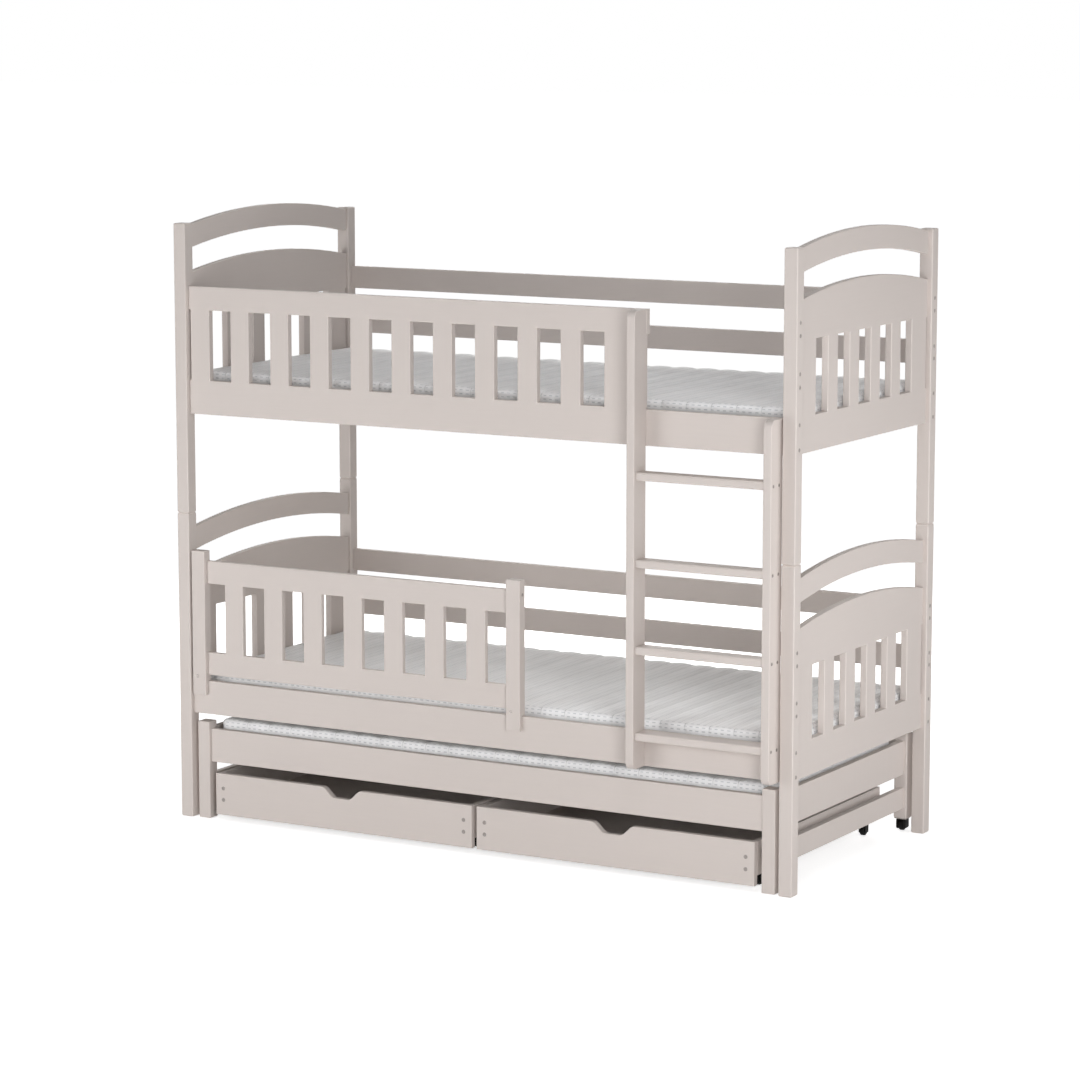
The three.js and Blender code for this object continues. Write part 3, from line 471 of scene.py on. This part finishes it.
def sunk_heads(name, body, places, material, radius, height, recess, sides, crown=0.9):
    """Heads on the floors of their seats; places holds (point on the face, direction it faces)."""
    points = bpy.data.meshes.new(name)
    floors = [Vector(point) - Vector(towards) * (SEAT_DEPTH - SEAT_CLEAR) for point, towards in places]
    points.from_pydata([p + Vector(t) * (height / 2) for p, (_, t) in zip(floors, places)], [], [])
    facing = points.attributes.new("facing", "FLOAT_VECTOR", "POINT")
    facing.data.foreach_set("vector", [c for _, towards in places for c in towards])
    piece = placed(name, points)
    maker = piece.modifiers.new("heads", "NODES")
    maker.node_group = HEADS
    inputs = [item for item in HEADS.interface.items_tree if item.in_out == "INPUT"]
    identifiers = {item.name: item.identifier for item in inputs}
    values = {"Radius": radius, "Crown": radius * crown, "Height": height, "Recess Radius": recess,
              "Recess Depth": min(HEX_DEPTH, height * 0.7), "Recess Sides": sides, "Material": material}
    for label, value in values.items():
        maker[identifiers[label]] = value
    made = plain_mesh(piece, name)
    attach(made, body)
    return made


def board_bolt_heights(level):
    """Two heights into each of the three side boards of a bunk."""
    heights = []
    for part in ("rail", "board_middle", "board_top"):
        low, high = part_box(f"{level}_back_{part}")
        heights += [low.z + BOLT_INSET, high.z - BOLT_INSET]
    return heights


bolt_places = []
for level in LEVELS:
    for face in ("front", "back"):
        for side, outward in (("left", -1.0), ("right", 1.0)):
            low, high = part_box(f"{level}_post_{face}_{side}")
            x = high.x if outward > 0 else low.x
            bolt_places += [((x, low.y + BOLT_FROM_FRONT, z), (outward, 0.0, 0.0))
                            for z in board_bolt_heights(level)]

BOLT_STEEL = steel("bolt_steel", STEEL)
sunk_heads("post_bolts", "bed_frame", bolt_places, BOLT_STEEL, BOLT_RADIUS, BOLT_HEIGHT, HEX_RADIUS,
           HEX_SIDES)


# Ladder
# Two stiles with rounded front corners and four flat steps between them.
# Two screws go through each stile into the end of every step.
STEP_SCREW_INSET = 0.0065
STEP_SCREW_SPREAD = 0.033
SCREW_RADIUS = 0.0048
SCREW_HEIGHT = 0.0018
SCREW_RECESS = 0.0021
SCREW_RECESS_SIDES = 4

dress([f"ladder_stile_{side}" for side in SIDES], PAINT_UPRIGHT, EDGE_HIGHLIGHT)
dress([f"ladder_step_{i}" for i in range(1, 5)], PAINT_LENGTHWAYS, EDGE_HIGHLIGHT)

step_screws = []
for i in range(1, 5):
    low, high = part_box(f"ladder_step_{i}")
    for side, outward in (("left", -1.0), ("right", 1.0)):
        stile_low, stile_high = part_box(f"ladder_stile_{side}")
        x = stile_high.x if outward > 0 else stile_low.x
        for y in (low.y + STEP_SCREW_INSET, low.y + STEP_SCREW_INSET + STEP_SCREW_SPREAD):
            step_screws.append(((x, y, (low.z + high.z) / 2), (outward, 0.0, 0.0)))
sunk_heads("step_screws", "bed_frame", step_screws, BOLT_STEEL, SCREW_RADIUS, SCREW_HEIGHT,
           SCREW_RECESS, SCREW_RECESS_SIDES)


# Lower guard
# A slatted panel between two stiles that lap over the side rail.
# One screw through the foot of each stile holds it to the rail, and one through its side holds the panel.
GUARD_SCREW_INSET = 0.016
GUARD_SCREW_RISE = 0.054
GUARD_SIDE_SCREW_DROP = 0.041
SCREW_PROUD = 0.0003
LOW_GUARD_BOARD = 0.066

dress([f"lower_guard_stile_{side}" for side in SIDES], PAINT_UPRIGHT, EDGE_HIGHLIGHT)
guard_low, guard_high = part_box("lower_guard_panel")
dress(["lower_guard_panel"],
      painted("paint_lower_guard", "x", (guard_low.z + LOW_GUARD_BOARD, guard_high.z - LOW_GUARD_BOARD)),
      EDGE_HIGHLIGHT)

guard_screws = []
for side in SIDES:
    low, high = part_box(f"lower_guard_stile_{side}")
    guard_screws.append(((low.x + GUARD_SCREW_INSET, low.y, low.z + GUARD_SCREW_RISE), (0.0, -1.0, 0.0)))
    outward = 1.0 if side == "right" else -1.0
    x = high.x if side == "right" else low.x
    flush = outward * (SEAT_DEPTH - SCREW_HEIGHT + SCREW_PROUD)
    side_screw = (x + flush, (low.y + high.y) / 2, high.z - GUARD_SIDE_SCREW_DROP)
    guard_screws.append((side_screw, (outward, 0.0, 0.0)))
sunk_heads("guard_screws", "bed_frame", guard_screws, BOLT_STEEL, SCREW_RADIUS, SCREW_HEIGHT,
           SCREW_RECESS, SCREW_RECESS_SIDES)


# Slatted bases
# Planed pine slats, left bare, held at their pitch by two cotton webbing strips beneath them.
SLAT_WOOD = (0.66, 0.47, 0.27)
WEBBING = (0.72, 0.69, 0.62)
WEBBING_HEIGHT = 0.0021
RING_CELLS = (90.0, 2.4, 60.0)
FIBRE_CELLS = (900.0, 18.0, 900.0)
WEAVE_CELLS = 110.0
SLAT_RELIEF = 0.0003


def slats(name, webbing_top):
    """Bare pine with its grain across the bed, and woven webbing below the slats' undersides."""
    material, tree, surface = shader(name, 0.6)
    place = add(tree, "ShaderNodeTexCoord").outputs["Object"]
    split = add(tree, "ShaderNodeSeparateXYZ")
    link(tree, place, split, "Vector")
    ring = cloud(tree, scaled(tree, place, RING_CELLS), 1.0, 5.0, 0.62)
    fibre = cloud(tree, scaled(tree, place, FIBRE_CELLS), 1.0, 2.0)
    rings = ramp(tree, ring, 0.35, 0.65, 0.0, 1.0)
    wood = mixed(tree, rings, scaled_colour(SLAT_WOOD, 0.78), scaled_colour(SLAT_WOOD, 1.12))
    weave = add(tree, "ShaderNodeTexWave", wave_type="BANDS", bands_direction="X")
    weave.inputs["Scale"].default_value = WEAVE_CELLS
    link(tree, place, weave, "Vector")
    cloth = mixed(tree, weave.outputs["Fac"], scaled_colour(WEBBING, 0.8), WEBBING)
    low = combined(tree, "LESS_THAN", split.outputs["Z"], webbing_top)
    link(tree, mixed(tree, low, wood, cloth), surface, "Base Color")
    relief = add(tree, "ShaderNodeMix", data_type="FLOAT")
    link(tree, low, relief, "Factor")
    link(tree, fibre, relief, "A")
    link(tree, weave.outputs["Fac"], relief, "B")
    bump(tree, surface, relief.outputs["Result"], SLAT_RELIEF)
    return material


for owner in ("lower", "upper", "trundle"):
    low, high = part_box(f"{owner}_slatted_base")
    dress([f"{owner}_slatted_base"], slats(f"{owner}_slats", low.z + WEBBING_HEIGHT))


# Mattresses
# Foam in a white knitted cover with a lattice of small grey dashes, quilted in channels across the bed.
# Each lies loose on its slatted base between the rails.
COVER = (0.96, 0.965, 0.975)
DASH = (0.62, 0.635, 0.655)
DASH_PITCH = 0.019
DASH_ROW = 0.0128
DASH_LENGTH = 0.0095
DASH_WIDTH = 0.0035
RIB_PITCH = 0.0025
RIB_WIDTH = 0.0013
YARN_CELLS = 700.0
FADE_CELLS = 14.0
KNIT_RELIEF = 0.00035
CHANNEL = 0.076
CELLS_IN_CHANNEL = (0.0, 0.1, 0.3, 0.5, 0.7, 0.9)
SEAM_PULL = 0.004
SIDE_PULL = 1.6
SEAM_REACH = 0.001
# Painted shade in the seams' creases: how dark it gets, from which seam depth it starts, and its greatest
# share.
SEAM_SHADE = 0.42
SEAM_ON_TOP = 0.82
SEAM_MID_SIDE = 0.62
SEAM_SIDE_GAIN = 0.38
SEAM_SHADE_FROM = 0.72
SEAM_SHADE_MOST = 0.85
CELL = 0.022
SOFT_EDGE = 0.014
CORNER = 0.017
EDGE_CELLS = 4
SWELL = 0.003
AIR = 4.0
AIR_FRAMES = 20
SEAT_HEIGHT = 0.004
WAVE = 0.0016
WAVE_LENGTH = 0.16
RIPPLE = 0.4
RIPPLE_LENGTH = WAVE_LENGTH * 0.37


def stations(half, soft, cell):
    """Places from -half to half, close together in the soft edge and about a cell apart between."""
    edge = [soft * (1 - math.cos(math.pi / 2 * i / EDGE_CELLS)) for i in range(EDGE_CELLS)]
    count = max(2, round((2 * half - 2 * soft) / cell))
    inner = [-half + soft + (2 * half - 2 * soft) * i / count for i in range(count + 1)]
    return [-half + e for e in edge] + inner + [half - e for e in reversed(edge)]


def rounded_quarter(u, v):
    """Carries a point of the unit square to the quarter disc."""
    return u * math.sqrt(1 - v * v / 2), v * math.sqrt(1 - u * u / 2)


def softened(x, y, z, a, b, c):
    """Rounds a box of half sizes a, b, c: its upright corners, then the edges of its top and foot."""
    corner_x, corner_y = a - CORNER, b - CORNER
    u, v = max(abs(x) - corner_x, 0.0) / CORNER, max(abs(y) - corner_y, 0.0) / CORNER
    reach = max(u, v)
    if u > 0 and v > 0:
        u, v = rounded_quarter(u, v)
        reach = math.hypot(u, v)
        x = math.copysign(corner_x + u * CORNER, x)
        y = math.copysign(corner_y + v * CORNER, y)
    inset = CORNER * (1 - reach)
    over = abs(z) - (c - SOFT_EDGE)
    if inset >= SOFT_EDGE or over <= 0:
        return x, y, z
    s, t = 1 - inset / SOFT_EDGE, over / SOFT_EDGE
    s_new, t_new = rounded_quarter(s, t)
    away = Vector((math.copysign(u, x), math.copysign(v, y))).normalized()
    x += away.x * (s_new - s) * SOFT_EDGE
    y += away.y * (s_new - s) * SOFT_EDGE
    return x, y, math.copysign(c - SOFT_EDGE + t_new * SOFT_EDGE, z)


def seam_places(half):
    """Where along X the quilting seams cross a mattress of the given half length."""
    reach = half - SOFT_EDGE
    channels = round(2 * reach / CHANNEL)
    return [2 * reach * i / channels - reach for i in range(channels + 1)]


def seam_stations(half):
    """Places along X as in stations, but in each channel closest together beside its seams."""
    seams = seam_places(half)
    inner = [a + (b - a) * share for a, b in zip(seams, seams[1:]) for share in CELLS_IN_CHANNEL]
    edges = stations(half, SOFT_EDGE, half)
    return edges[:EDGE_CELLS] + inner + [seams[-1]] + edges[-EDGE_CELLS:]


def quilted(x, y, z, half):
    """Draws a point of the shell in where it lies near a seam, most at the top and not at the foot."""
    seams = seam_places(half[0])
    if not seams[0] < x < seams[-1]:
        return x, y, z
    phase = (x - seams[0]) / (seams[1] - seams[0])
    if round(phase) in (0, len(seams) - 1):
        return x, y, z
    pull = SEAM_PULL * (1 - math.sqrt(abs(math.sin(math.pi * phase)))) * (z + half[2]) / (2 * half[2])
    aside = math.copysign(max(abs(y) - half[1] + SOFT_EDGE, 0.0), y)
    out = Vector((0.0, aside, max(z - half[2] + SOFT_EDGE, 0.0)))
    if out.length > 0:
        out.normalize()
    return x, y - out.y * pull * SIDE_PULL, z - out.z * pull


def mattress_shell(name, centre, half):
    """A closed soft box of cells, with its cover laid flat in the map cover_uv, in metres."""
    xs = seam_stations(half[0])
    ys, zs = (stations(h, SOFT_EDGE, CELL) for h in half[1:])
    last = (len(xs) - 1, len(ys) - 1, len(zs) - 1)
    build = bmesh.new()
    layer = build.loops.layers.uv.new("cover_uv")
    index = {}

    def corner(i, j, k):
        if (i, j, k) not in index:
            index[i, j, k] = build.verts.new(quilted(*softened(xs[i], ys[j], zs[k], *half), half))
        return index[i, j, k]

    def panel(first, second, fixed, at, flat, flip):
        """The cells of one side; first and second are the axes that it spans."""
        for p in range(last[first]):
            for q in range(last[second]):
                cells = []
                for dp, dq in ((0, 0), (1, 0), (1, 1), (0, 1)):
                    cell = [0, 0, 0]
                    cell[first], cell[second], cell[fixed] = p + dp, q + dq, at
                    cells.append(tuple(cell))
                if flip:
                    cells.reverse()
                face = build.faces.new([corner(*c) for c in cells])
                for loop, c in zip(face.loops, cells):
                    loop[layer].uv = flat(xs[c[0]], ys[c[1]], zs[c[2]])

    panel(0, 1, 2, last[2], lambda x, y, z: (x, y), False)
    panel(0, 1, 2, 0, lambda x, y, z: (x, y), True)
    panel(0, 2, 1, 0, lambda x, y, z: (x, z - half[2] - half[1]), False)
    panel(0, 2, 1, last[1], lambda x, y, z: (x, half[1] + half[2] - z), True)
    panel(1, 2, 0, 0, lambda x, y, z: (y, z - half[2]), True)
    panel(1, 2, 0, last[0], lambda x, y, z: (y, z - half[2]), False)
    for vertex in build.verts:
        vertex.co += centre
    mesh = bpy.data.meshes.new(name)
    build.to_mesh(mesh)
    build.free()
    mesh.shade_smooth()
    seams = seam_places(half[0])[1:-1]

    def depth(place):
        """How deep a seam's shade is: none away from it, most at the upper edge, none low on the side."""
        if min(abs(place.x - x) for x in seams) > SEAM_REACH:
            return 0.0
        on_side = abs(place.y) > half[1] - SOFT_EDGE
        return SEAM_MID_SIDE + SEAM_SIDE_GAIN * place.z / half[2] if on_side else SEAM_ON_TOP

    nearness = mesh.attributes.new("seam", "FLOAT", "POINT")
    nearness.data.foreach_set("value", [depth(v.co - centre) for v in mesh.vertices])
    return placed(name, mesh)


def blown(piece, floor, cap, seams):
    """Presses the cover out between its seams while its underside rests, no point further than cap."""
    scene = bpy.context.scene
    start = [v.co.copy() for v in piece.data.vertices]
    seat = piece.vertex_groups.new(name="seat")
    held = [v.index for v in piece.data.vertices
            if v.co.z < floor + SEAT_HEIGHT or min(abs(v.co.x - x) for x in seams) < SEAM_REACH]
    seat.add(held, 1.0, "REPLACE")
    cloth = piece.modifiers.new("cloth", "CLOTH")
    cloth.settings.vertex_group_mass = "seat"
    cloth.settings.use_pressure = True
    cloth.settings.uniform_pressure_force = AIR
    cloth.settings.effector_weights.gravity = 0.0
    cloth.settings.quality = 4
    cloth.collision_settings.use_collision = False
    cloth.point_cache.frame_end = AIR_FRAMES
    for number in range(1, AIR_FRAMES + 1):
        scene.frame_set(number)
    shape = bpy.data.meshes.new_from_object(piece.evaluated_get(bpy.context.evaluated_depsgraph_get()))
    moved = [v.co.copy() for v in shape.vertices]
    piece.modifiers.remove(cloth)
    piece.vertex_groups.remove(seat)
    scene.frame_set(1)
    for vertex, before, after in zip(piece.data.vertices, start, moved):
        step = after - before
        if step.length > cap:
            step *= cap / step.length
        vertex.co = before + step


def uneven(piece, floor, top):
    """Long shallow waves that foam shows under a loose cover, none at its foot."""
    for vertex in piece.data.vertices:
        share = max(0.0, (vertex.co.z - floor) / (top - floor))
        swell = noise.noise(vertex.co / WAVE_LENGTH) + RIPPLE * noise.noise(vertex.co / RIPPLE_LENGTH)
        vertex.co.z += WAVE * share * share * swell


def knitted(name):
    """White knit with woven dashes in columns, each a little sunk, fine ribs between them, and painted
    shade along the seams.
    """
    material, tree, surface = shader(name, 0.85)
    flat = add(tree, "ShaderNodeUVMap", uv_map="cover_uv").outputs["UV"]
    split = add(tree, "ShaderNodeSeparateXYZ")
    link(tree, flat, split, "Vector")

    def stripe(source, pitch, width):
        """One along the middle of each repeat, falling softly to zero at half the width."""
        part = combined(tree, "FRACT", combined(tree, "DIVIDE", source, pitch))
        size = combined(tree, "ABSOLUTE", combined(tree, "SUBTRACT", part, 0.5))
        half = width / pitch / 2
        return ramp(tree, size, half * 0.75, half * 1.25, 1.0, 0.0)

    dash = combined(tree, "MULTIPLY", stripe(split.outputs["X"], DASH_PITCH, DASH_LENGTH),
                    stripe(split.outputs["Y"], DASH_ROW, DASH_WIDTH))
    rib = stripe(split.outputs["Y"], RIB_PITCH, RIB_WIDTH)
    yarn = cloud(tree, flat, YARN_CELLS, 2.0)
    fade = ramp(tree, cloud(tree, flat, FADE_CELLS, 3.0), 0.35, 0.65, 0.0, 1.0)
    ink = combined(tree, "MULTIPLY", dash, ramp(tree, yarn, 0.3, 0.7, 0.75, 1.0))
    colour = mixed(tree, ink, mixed(tree, fade, scaled_colour(COVER, 0.965), COVER), DASH)
    seam = add(tree, "ShaderNodeAttribute", attribute_name="seam").outputs["Fac"]
    # Painted shade: the cover is darkened along the quilting seams, most at the upper edge, where the
    # creases fall in shade.
    painted_seam_shade = ramp(tree, seam, SEAM_SHADE_FROM, 1.0, 0.0, SEAM_SHADE_MOST)
    link(tree, mixed(tree, painted_seam_shade, colour, scaled_colour(COVER, SEAM_SHADE)), surface, "Base Color")
    sunk = ramp(tree, dash, 0.0, 1.0, 1.0, 0.0)
    weave = ramp(tree, combined(tree, "ADD", rib, yarn), 0.0, 2.0, 0.0, 0.3)
    bump(tree, surface, combined(tree, "ADD", sunk, weave), KNIT_RELIEF)
    surface.inputs["Sheen Weight"].default_value = 0.8
    surface.inputs["Sheen Roughness"].default_value = 0.4
    surface.inputs["Specular IOR Level"].default_value = 0.2
    return material


KNIT = knitted("knitted_cover")
for owner in ("lower", "upper", "trundle"):
    low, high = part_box(f"{owner}_mattress")
    centre = (low + high) / 2
    half = [(high[i] - low[i]) / 2 - SWELL for i in range(3)]
    cover = mattress_shell(f"{owner}_mattress_cover", centre - Vector((0, 0, SWELL)), half)
    blown(cover, low.z, 2 * SWELL, seam_places(half[0]))
    uneven(cover, low.z, high.z)
    cover.data.materials.append(KNIT)
    smooth = cover.modifiers.new("smooth", "SUBSURF")
    smooth.levels = 1
    smooth.render_levels = 1
    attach(cover, "trundle" if owner == "trundle" else "bed_frame")
    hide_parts(f"{owner}_mattress")


# Trundle frame
# Legs and end rails glued into two end frames, with rails between them.
# The front legs stand on the floor and the back ones on casters.
dress([f"trundle_end_frame_{side}" for side in SIDES], PAINT_UPRIGHT, EDGE_HIGHLIGHT)
dress([f"trundle_{face}_rail" for face in ("front", "back")], PAINT_LENGTHWAYS, EDGE_HIGHLIGHT)


# Wheels
# Moulded black wheels with a rounded tread, a dished face and a hub round the end of the pin.
# Each turns in a fork of the same plastic.
PLASTIC = (0.007, 0.0065, 0.006)
PLASTIC_ROUGH = (0.45, 0.65)
DUST_CELLS = 90.0
SPARK_CELLS = 1600.0
SPARK_RELIEF = 0.00004
WHEEL_STEPS = 48
TREAD_STEPS = 5
TREAD_ROUND = 0.003
HUB_RADIUS = 0.0058
HUB_SINK = 0.0009
HUB_ROUND = 0.0005
HUB_BREAK = 0.0006
PIN_RADIUS = 0.0028
PIN_SINK = 0.0004
PIN_GAP = 0.0002
DISH = 0.0022
RIM = 0.0026
RIM_BREAK = 0.001
RIM_SINK = 0.0003
HOOD_HALF = Vector((0.0145, 0.0165))
HOOD_FOOT = 0.006
HOOD_ROUND = 0.005
HOOD_GAP = 0.0015
PLATE = 0.0025
PLATE_ROUND = 0.0005


def moulded(name, colour):
    """Satin plastic with a fine spark-eroded grain and a few dusty marks."""
    material, tree, surface = shader(name, 0.45)
    place = add(tree, "ShaderNodeTexCoord").outputs["Object"]
    dust = cloud(tree, place, DUST_CELLS, 4.0, 0.6)
    tinted(tree, surface, colour, dust, 0.45, 0.75, 1.0, 1.3)
    link(tree, ramp(tree, dust, 0.3, 0.7, *PLASTIC_ROUGH), surface, "Roughness")
    bump(tree, surface, cloud(tree, place, SPARK_CELLS, 2.0), SPARK_RELIEF)
    surface.inputs["Specular IOR Level"].default_value = 0.1
    return material


BLACK = moulded("black_plastic_grain", PLASTIC)


def turned(name, centre, profile, material):
    """A body turned about X through centre from (radius, x) points that start and end on the axis."""
    verts, faces = [], []
    rings = profile[1:-1]
    for radius, x in rings:
        for i in range(WHEEL_STEPS):
            angle = 2 * math.pi * i / WHEEL_STEPS
            across, up = radius * math.cos(angle), radius * math.sin(angle)
            verts.append((centre.x + x, centre.y + across, centre.z + up))
    for r in range(len(rings) - 1):
        for i in range(WHEEL_STEPS):
            a, b = r * WHEEL_STEPS + i, r * WHEEL_STEPS + (i + 1) % WHEEL_STEPS
            faces.append((a, b, b + WHEEL_STEPS, a + WHEEL_STEPS))
    for (_, x), ring in ((profile[0], 0), (profile[-1], len(rings) - 1)):
        verts.append((centre.x + x, centre.y, centre.z))
        for i in range(WHEEL_STEPS):
            a, b = ring * WHEEL_STEPS + i, ring * WHEEL_STEPS + (i + 1) % WHEEL_STEPS
            faces.append((a, b, len(verts) - 1) if ring else (b, a, len(verts) - 1))
    mesh = bpy.data.meshes.new(name)
    mesh.from_pydata(verts, [], faces)
    build = bmesh.new()
    build.from_mesh(mesh)
    bmesh.ops.recalc_face_normals(build, faces=build.faces)
    build.to_mesh(mesh)
    build.free()
    mesh.shade_smooth()
    mesh.materials.append(material)
    return placed(name, mesh)


def wheel_profile(radius, half):
    """Half of the section from the hub's face over the tread, then its mirror image."""
    tread = [(radius - TREAD_ROUND * (1 - math.sin(a)), half - TREAD_ROUND * (1 - math.cos(a)))
             for a in [math.pi / 2 * i / TREAD_STEPS for i in range(TREAD_STEPS + 1)]]
    pin, hub, rim = half - PIN_SINK, half - HUB_SINK, radius - TREAD_ROUND - RIM
    side = [(0.0, pin), (PIN_RADIUS, pin), (PIN_RADIUS + PIN_GAP, hub),
            (HUB_RADIUS - HUB_BREAK, hub), (HUB_RADIUS, hub - HUB_ROUND),
            (HUB_RADIUS + HUB_BREAK, half - DISH), (rim, half - DISH), (rim + RIM_BREAK, half - RIM_SINK)]
    right = side + tread
    return right + [(r, -x) for r, x in reversed(right)]


bodies = frame["record"]["behaviour"]["bodies"]
wheels = {body: members[0] for body, members in bodies.items() if "_wheel_" in body}
for body, node_name in wheels.items():
    low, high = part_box(node_name)
    profile = wheel_profile((high.z - low.z) / 2, (high.x - low.x) / 2)
    wheel = turned(f"{node_name}_moulded", (low + high) / 2, profile, BLACK)
    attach(wheel, body)
    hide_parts(node_name)


def block(name, centre, size, radius=0.0, segments=1):
    """A box of the given size round centre, with its edges rounded to radius."""
    build = bmesh.new()
    bmesh.ops.create_cube(build, size=1.0)
    for vertex in build.verts:
        vertex.co = centre + vertex.co * size
    if radius:
        bmesh.ops.bevel(build, geom=build.edges[:], offset=radius, segments=segments, profile=0.5,
                        affect="EDGES")
    mesh = bpy.data.meshes.new(name)
    build.to_mesh(mesh)
    build.free()
    return placed(name, mesh)


def hooded(name, low, high, axle, half):
    """A caster's hood in the box from low to high, open below round a wheel of that half width."""
    hood = block(name, (low + high) / 2, high - low, HOOD_ROUND, 4)
    reach = Vector((2 * half + 2 * HOOD_GAP, 1.0, 2 * (axle.z + HOOD_GAP)))
    cutter = block(f"{name}_slot", axle, reach)
    cut = hood.modifiers.new("slot", "BOOLEAN")
    cut.object = cutter
    cut.solver = "EXACT"
    made = plain_mesh(hood, name)
    bpy.data.objects.remove(cutter)
    made.data.materials.clear()
    made.data.materials.append(BLACK)
    for face in made.data.polygons:
        face.material_index = 0
    made.data.shade_smooth()
    made.data.set_sharp_from_angle(angle=EDGE_ANGLE)
    return made


def fixing_plate(name, low, high):
    """The zinc-plated plate that holds a caster under its leg."""
    plate = block(name, (low + high) / 2, high - low, PLATE_ROUND, 2)
    plate.data.materials.append(BOLT_STEEL)
    return plate


for side in SIDES:
    low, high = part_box(f"trundle_caster_housing_{side}")
    wheel_low, wheel_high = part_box(f"trundle_caster_wheel_{side}")
    axle = (wheel_low + wheel_high) / 2
    seat = high.z - PLATE
    foot = Vector((axle.x - HOOD_HALF.x, axle.y - HOOD_HALF.y, HOOD_FOOT))
    head = Vector((axle.x + HOOD_HALF.x, axle.y + HOOD_HALF.y, seat))
    hood = hooded(f"trundle_caster_hood_{side}", foot, head, axle, (wheel_high.x - wheel_low.x) / 2)
    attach(hood, "trundle")
    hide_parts(f"trundle_caster_housing_{side}")
    plate = fixing_plate(f"trundle_caster_plate_{side}", Vector((low.x, low.y, seat)), high)
    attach(plate, "trundle")


# Drawers
# A board front with a hand notch on a tray of thin sides, back and bottom panel.
# Two plugged screws hold each end of the front; four small wheels in forks carry the tray.
PLUG_INSET = 0.026
PLUG_SPREAD = 0.034
PLUG_DROP = 0.060
PLUG_RADIUS = 0.0059
PLUG_HEIGHT = 0.0019
PLUG_RECESS = 0.0024
PLUG_RECESS_SIDES = 24
PLUG_CROWN = 0.96
# The plugs are plastic caps; their grey is darker than the paint round them as painted shade of their
# sunken seats.
PLUG_SHADED_GREY = (0.36, 0.325, 0.305)
FORK_REACH = Vector((0.0116, 0.0106, 0.0452))

dress([f"drawer_{side}_front" for side in SIDES], PAINT_LENGTHWAYS, EDGE_HIGHLIGHT)
dress([f"drawer_{side}_tray" for side in SIDES], PAINT_LENGTHWAYS)
PLUG_PLASTIC = moulded("plug_plastic", PLUG_SHADED_GREY)

for side in SIDES:
    low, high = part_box(f"drawer_{side}_front")
    plugs = []
    for x in (low.x + PLUG_INSET, high.x - PLUG_INSET):
        for lift in (-PLUG_SPREAD / 2, PLUG_SPREAD / 2):
            plugs.append(((x, low.y, high.z - PLUG_DROP + lift), (0.0, -1.0, 0.0)))
    sunk_heads(f"drawer_{side}_plugs", f"drawer_{side}", plugs, PLUG_PLASTIC, PLUG_RADIUS, PLUG_HEIGHT,
               PLUG_RECESS, PLUG_RECESS_SIDES, PLUG_CROWN)

    tray = nodes[f"drawer_{side}_tray"].data
    tray.materials.append(BLACK)
    members = [name for name in wheels.values() if name.startswith(f"drawer_{side}_")]
    axles = [sum(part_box(name), Vector()) / 2 for name in members]
    for face in tray.polygons:
        for axle in axles:
            away = face.center - axle
            if abs(away.x) < FORK_REACH.x and abs(away.y) < FORK_REACH.y and face.center.z < FORK_REACH.z:
                face.material_index = 1
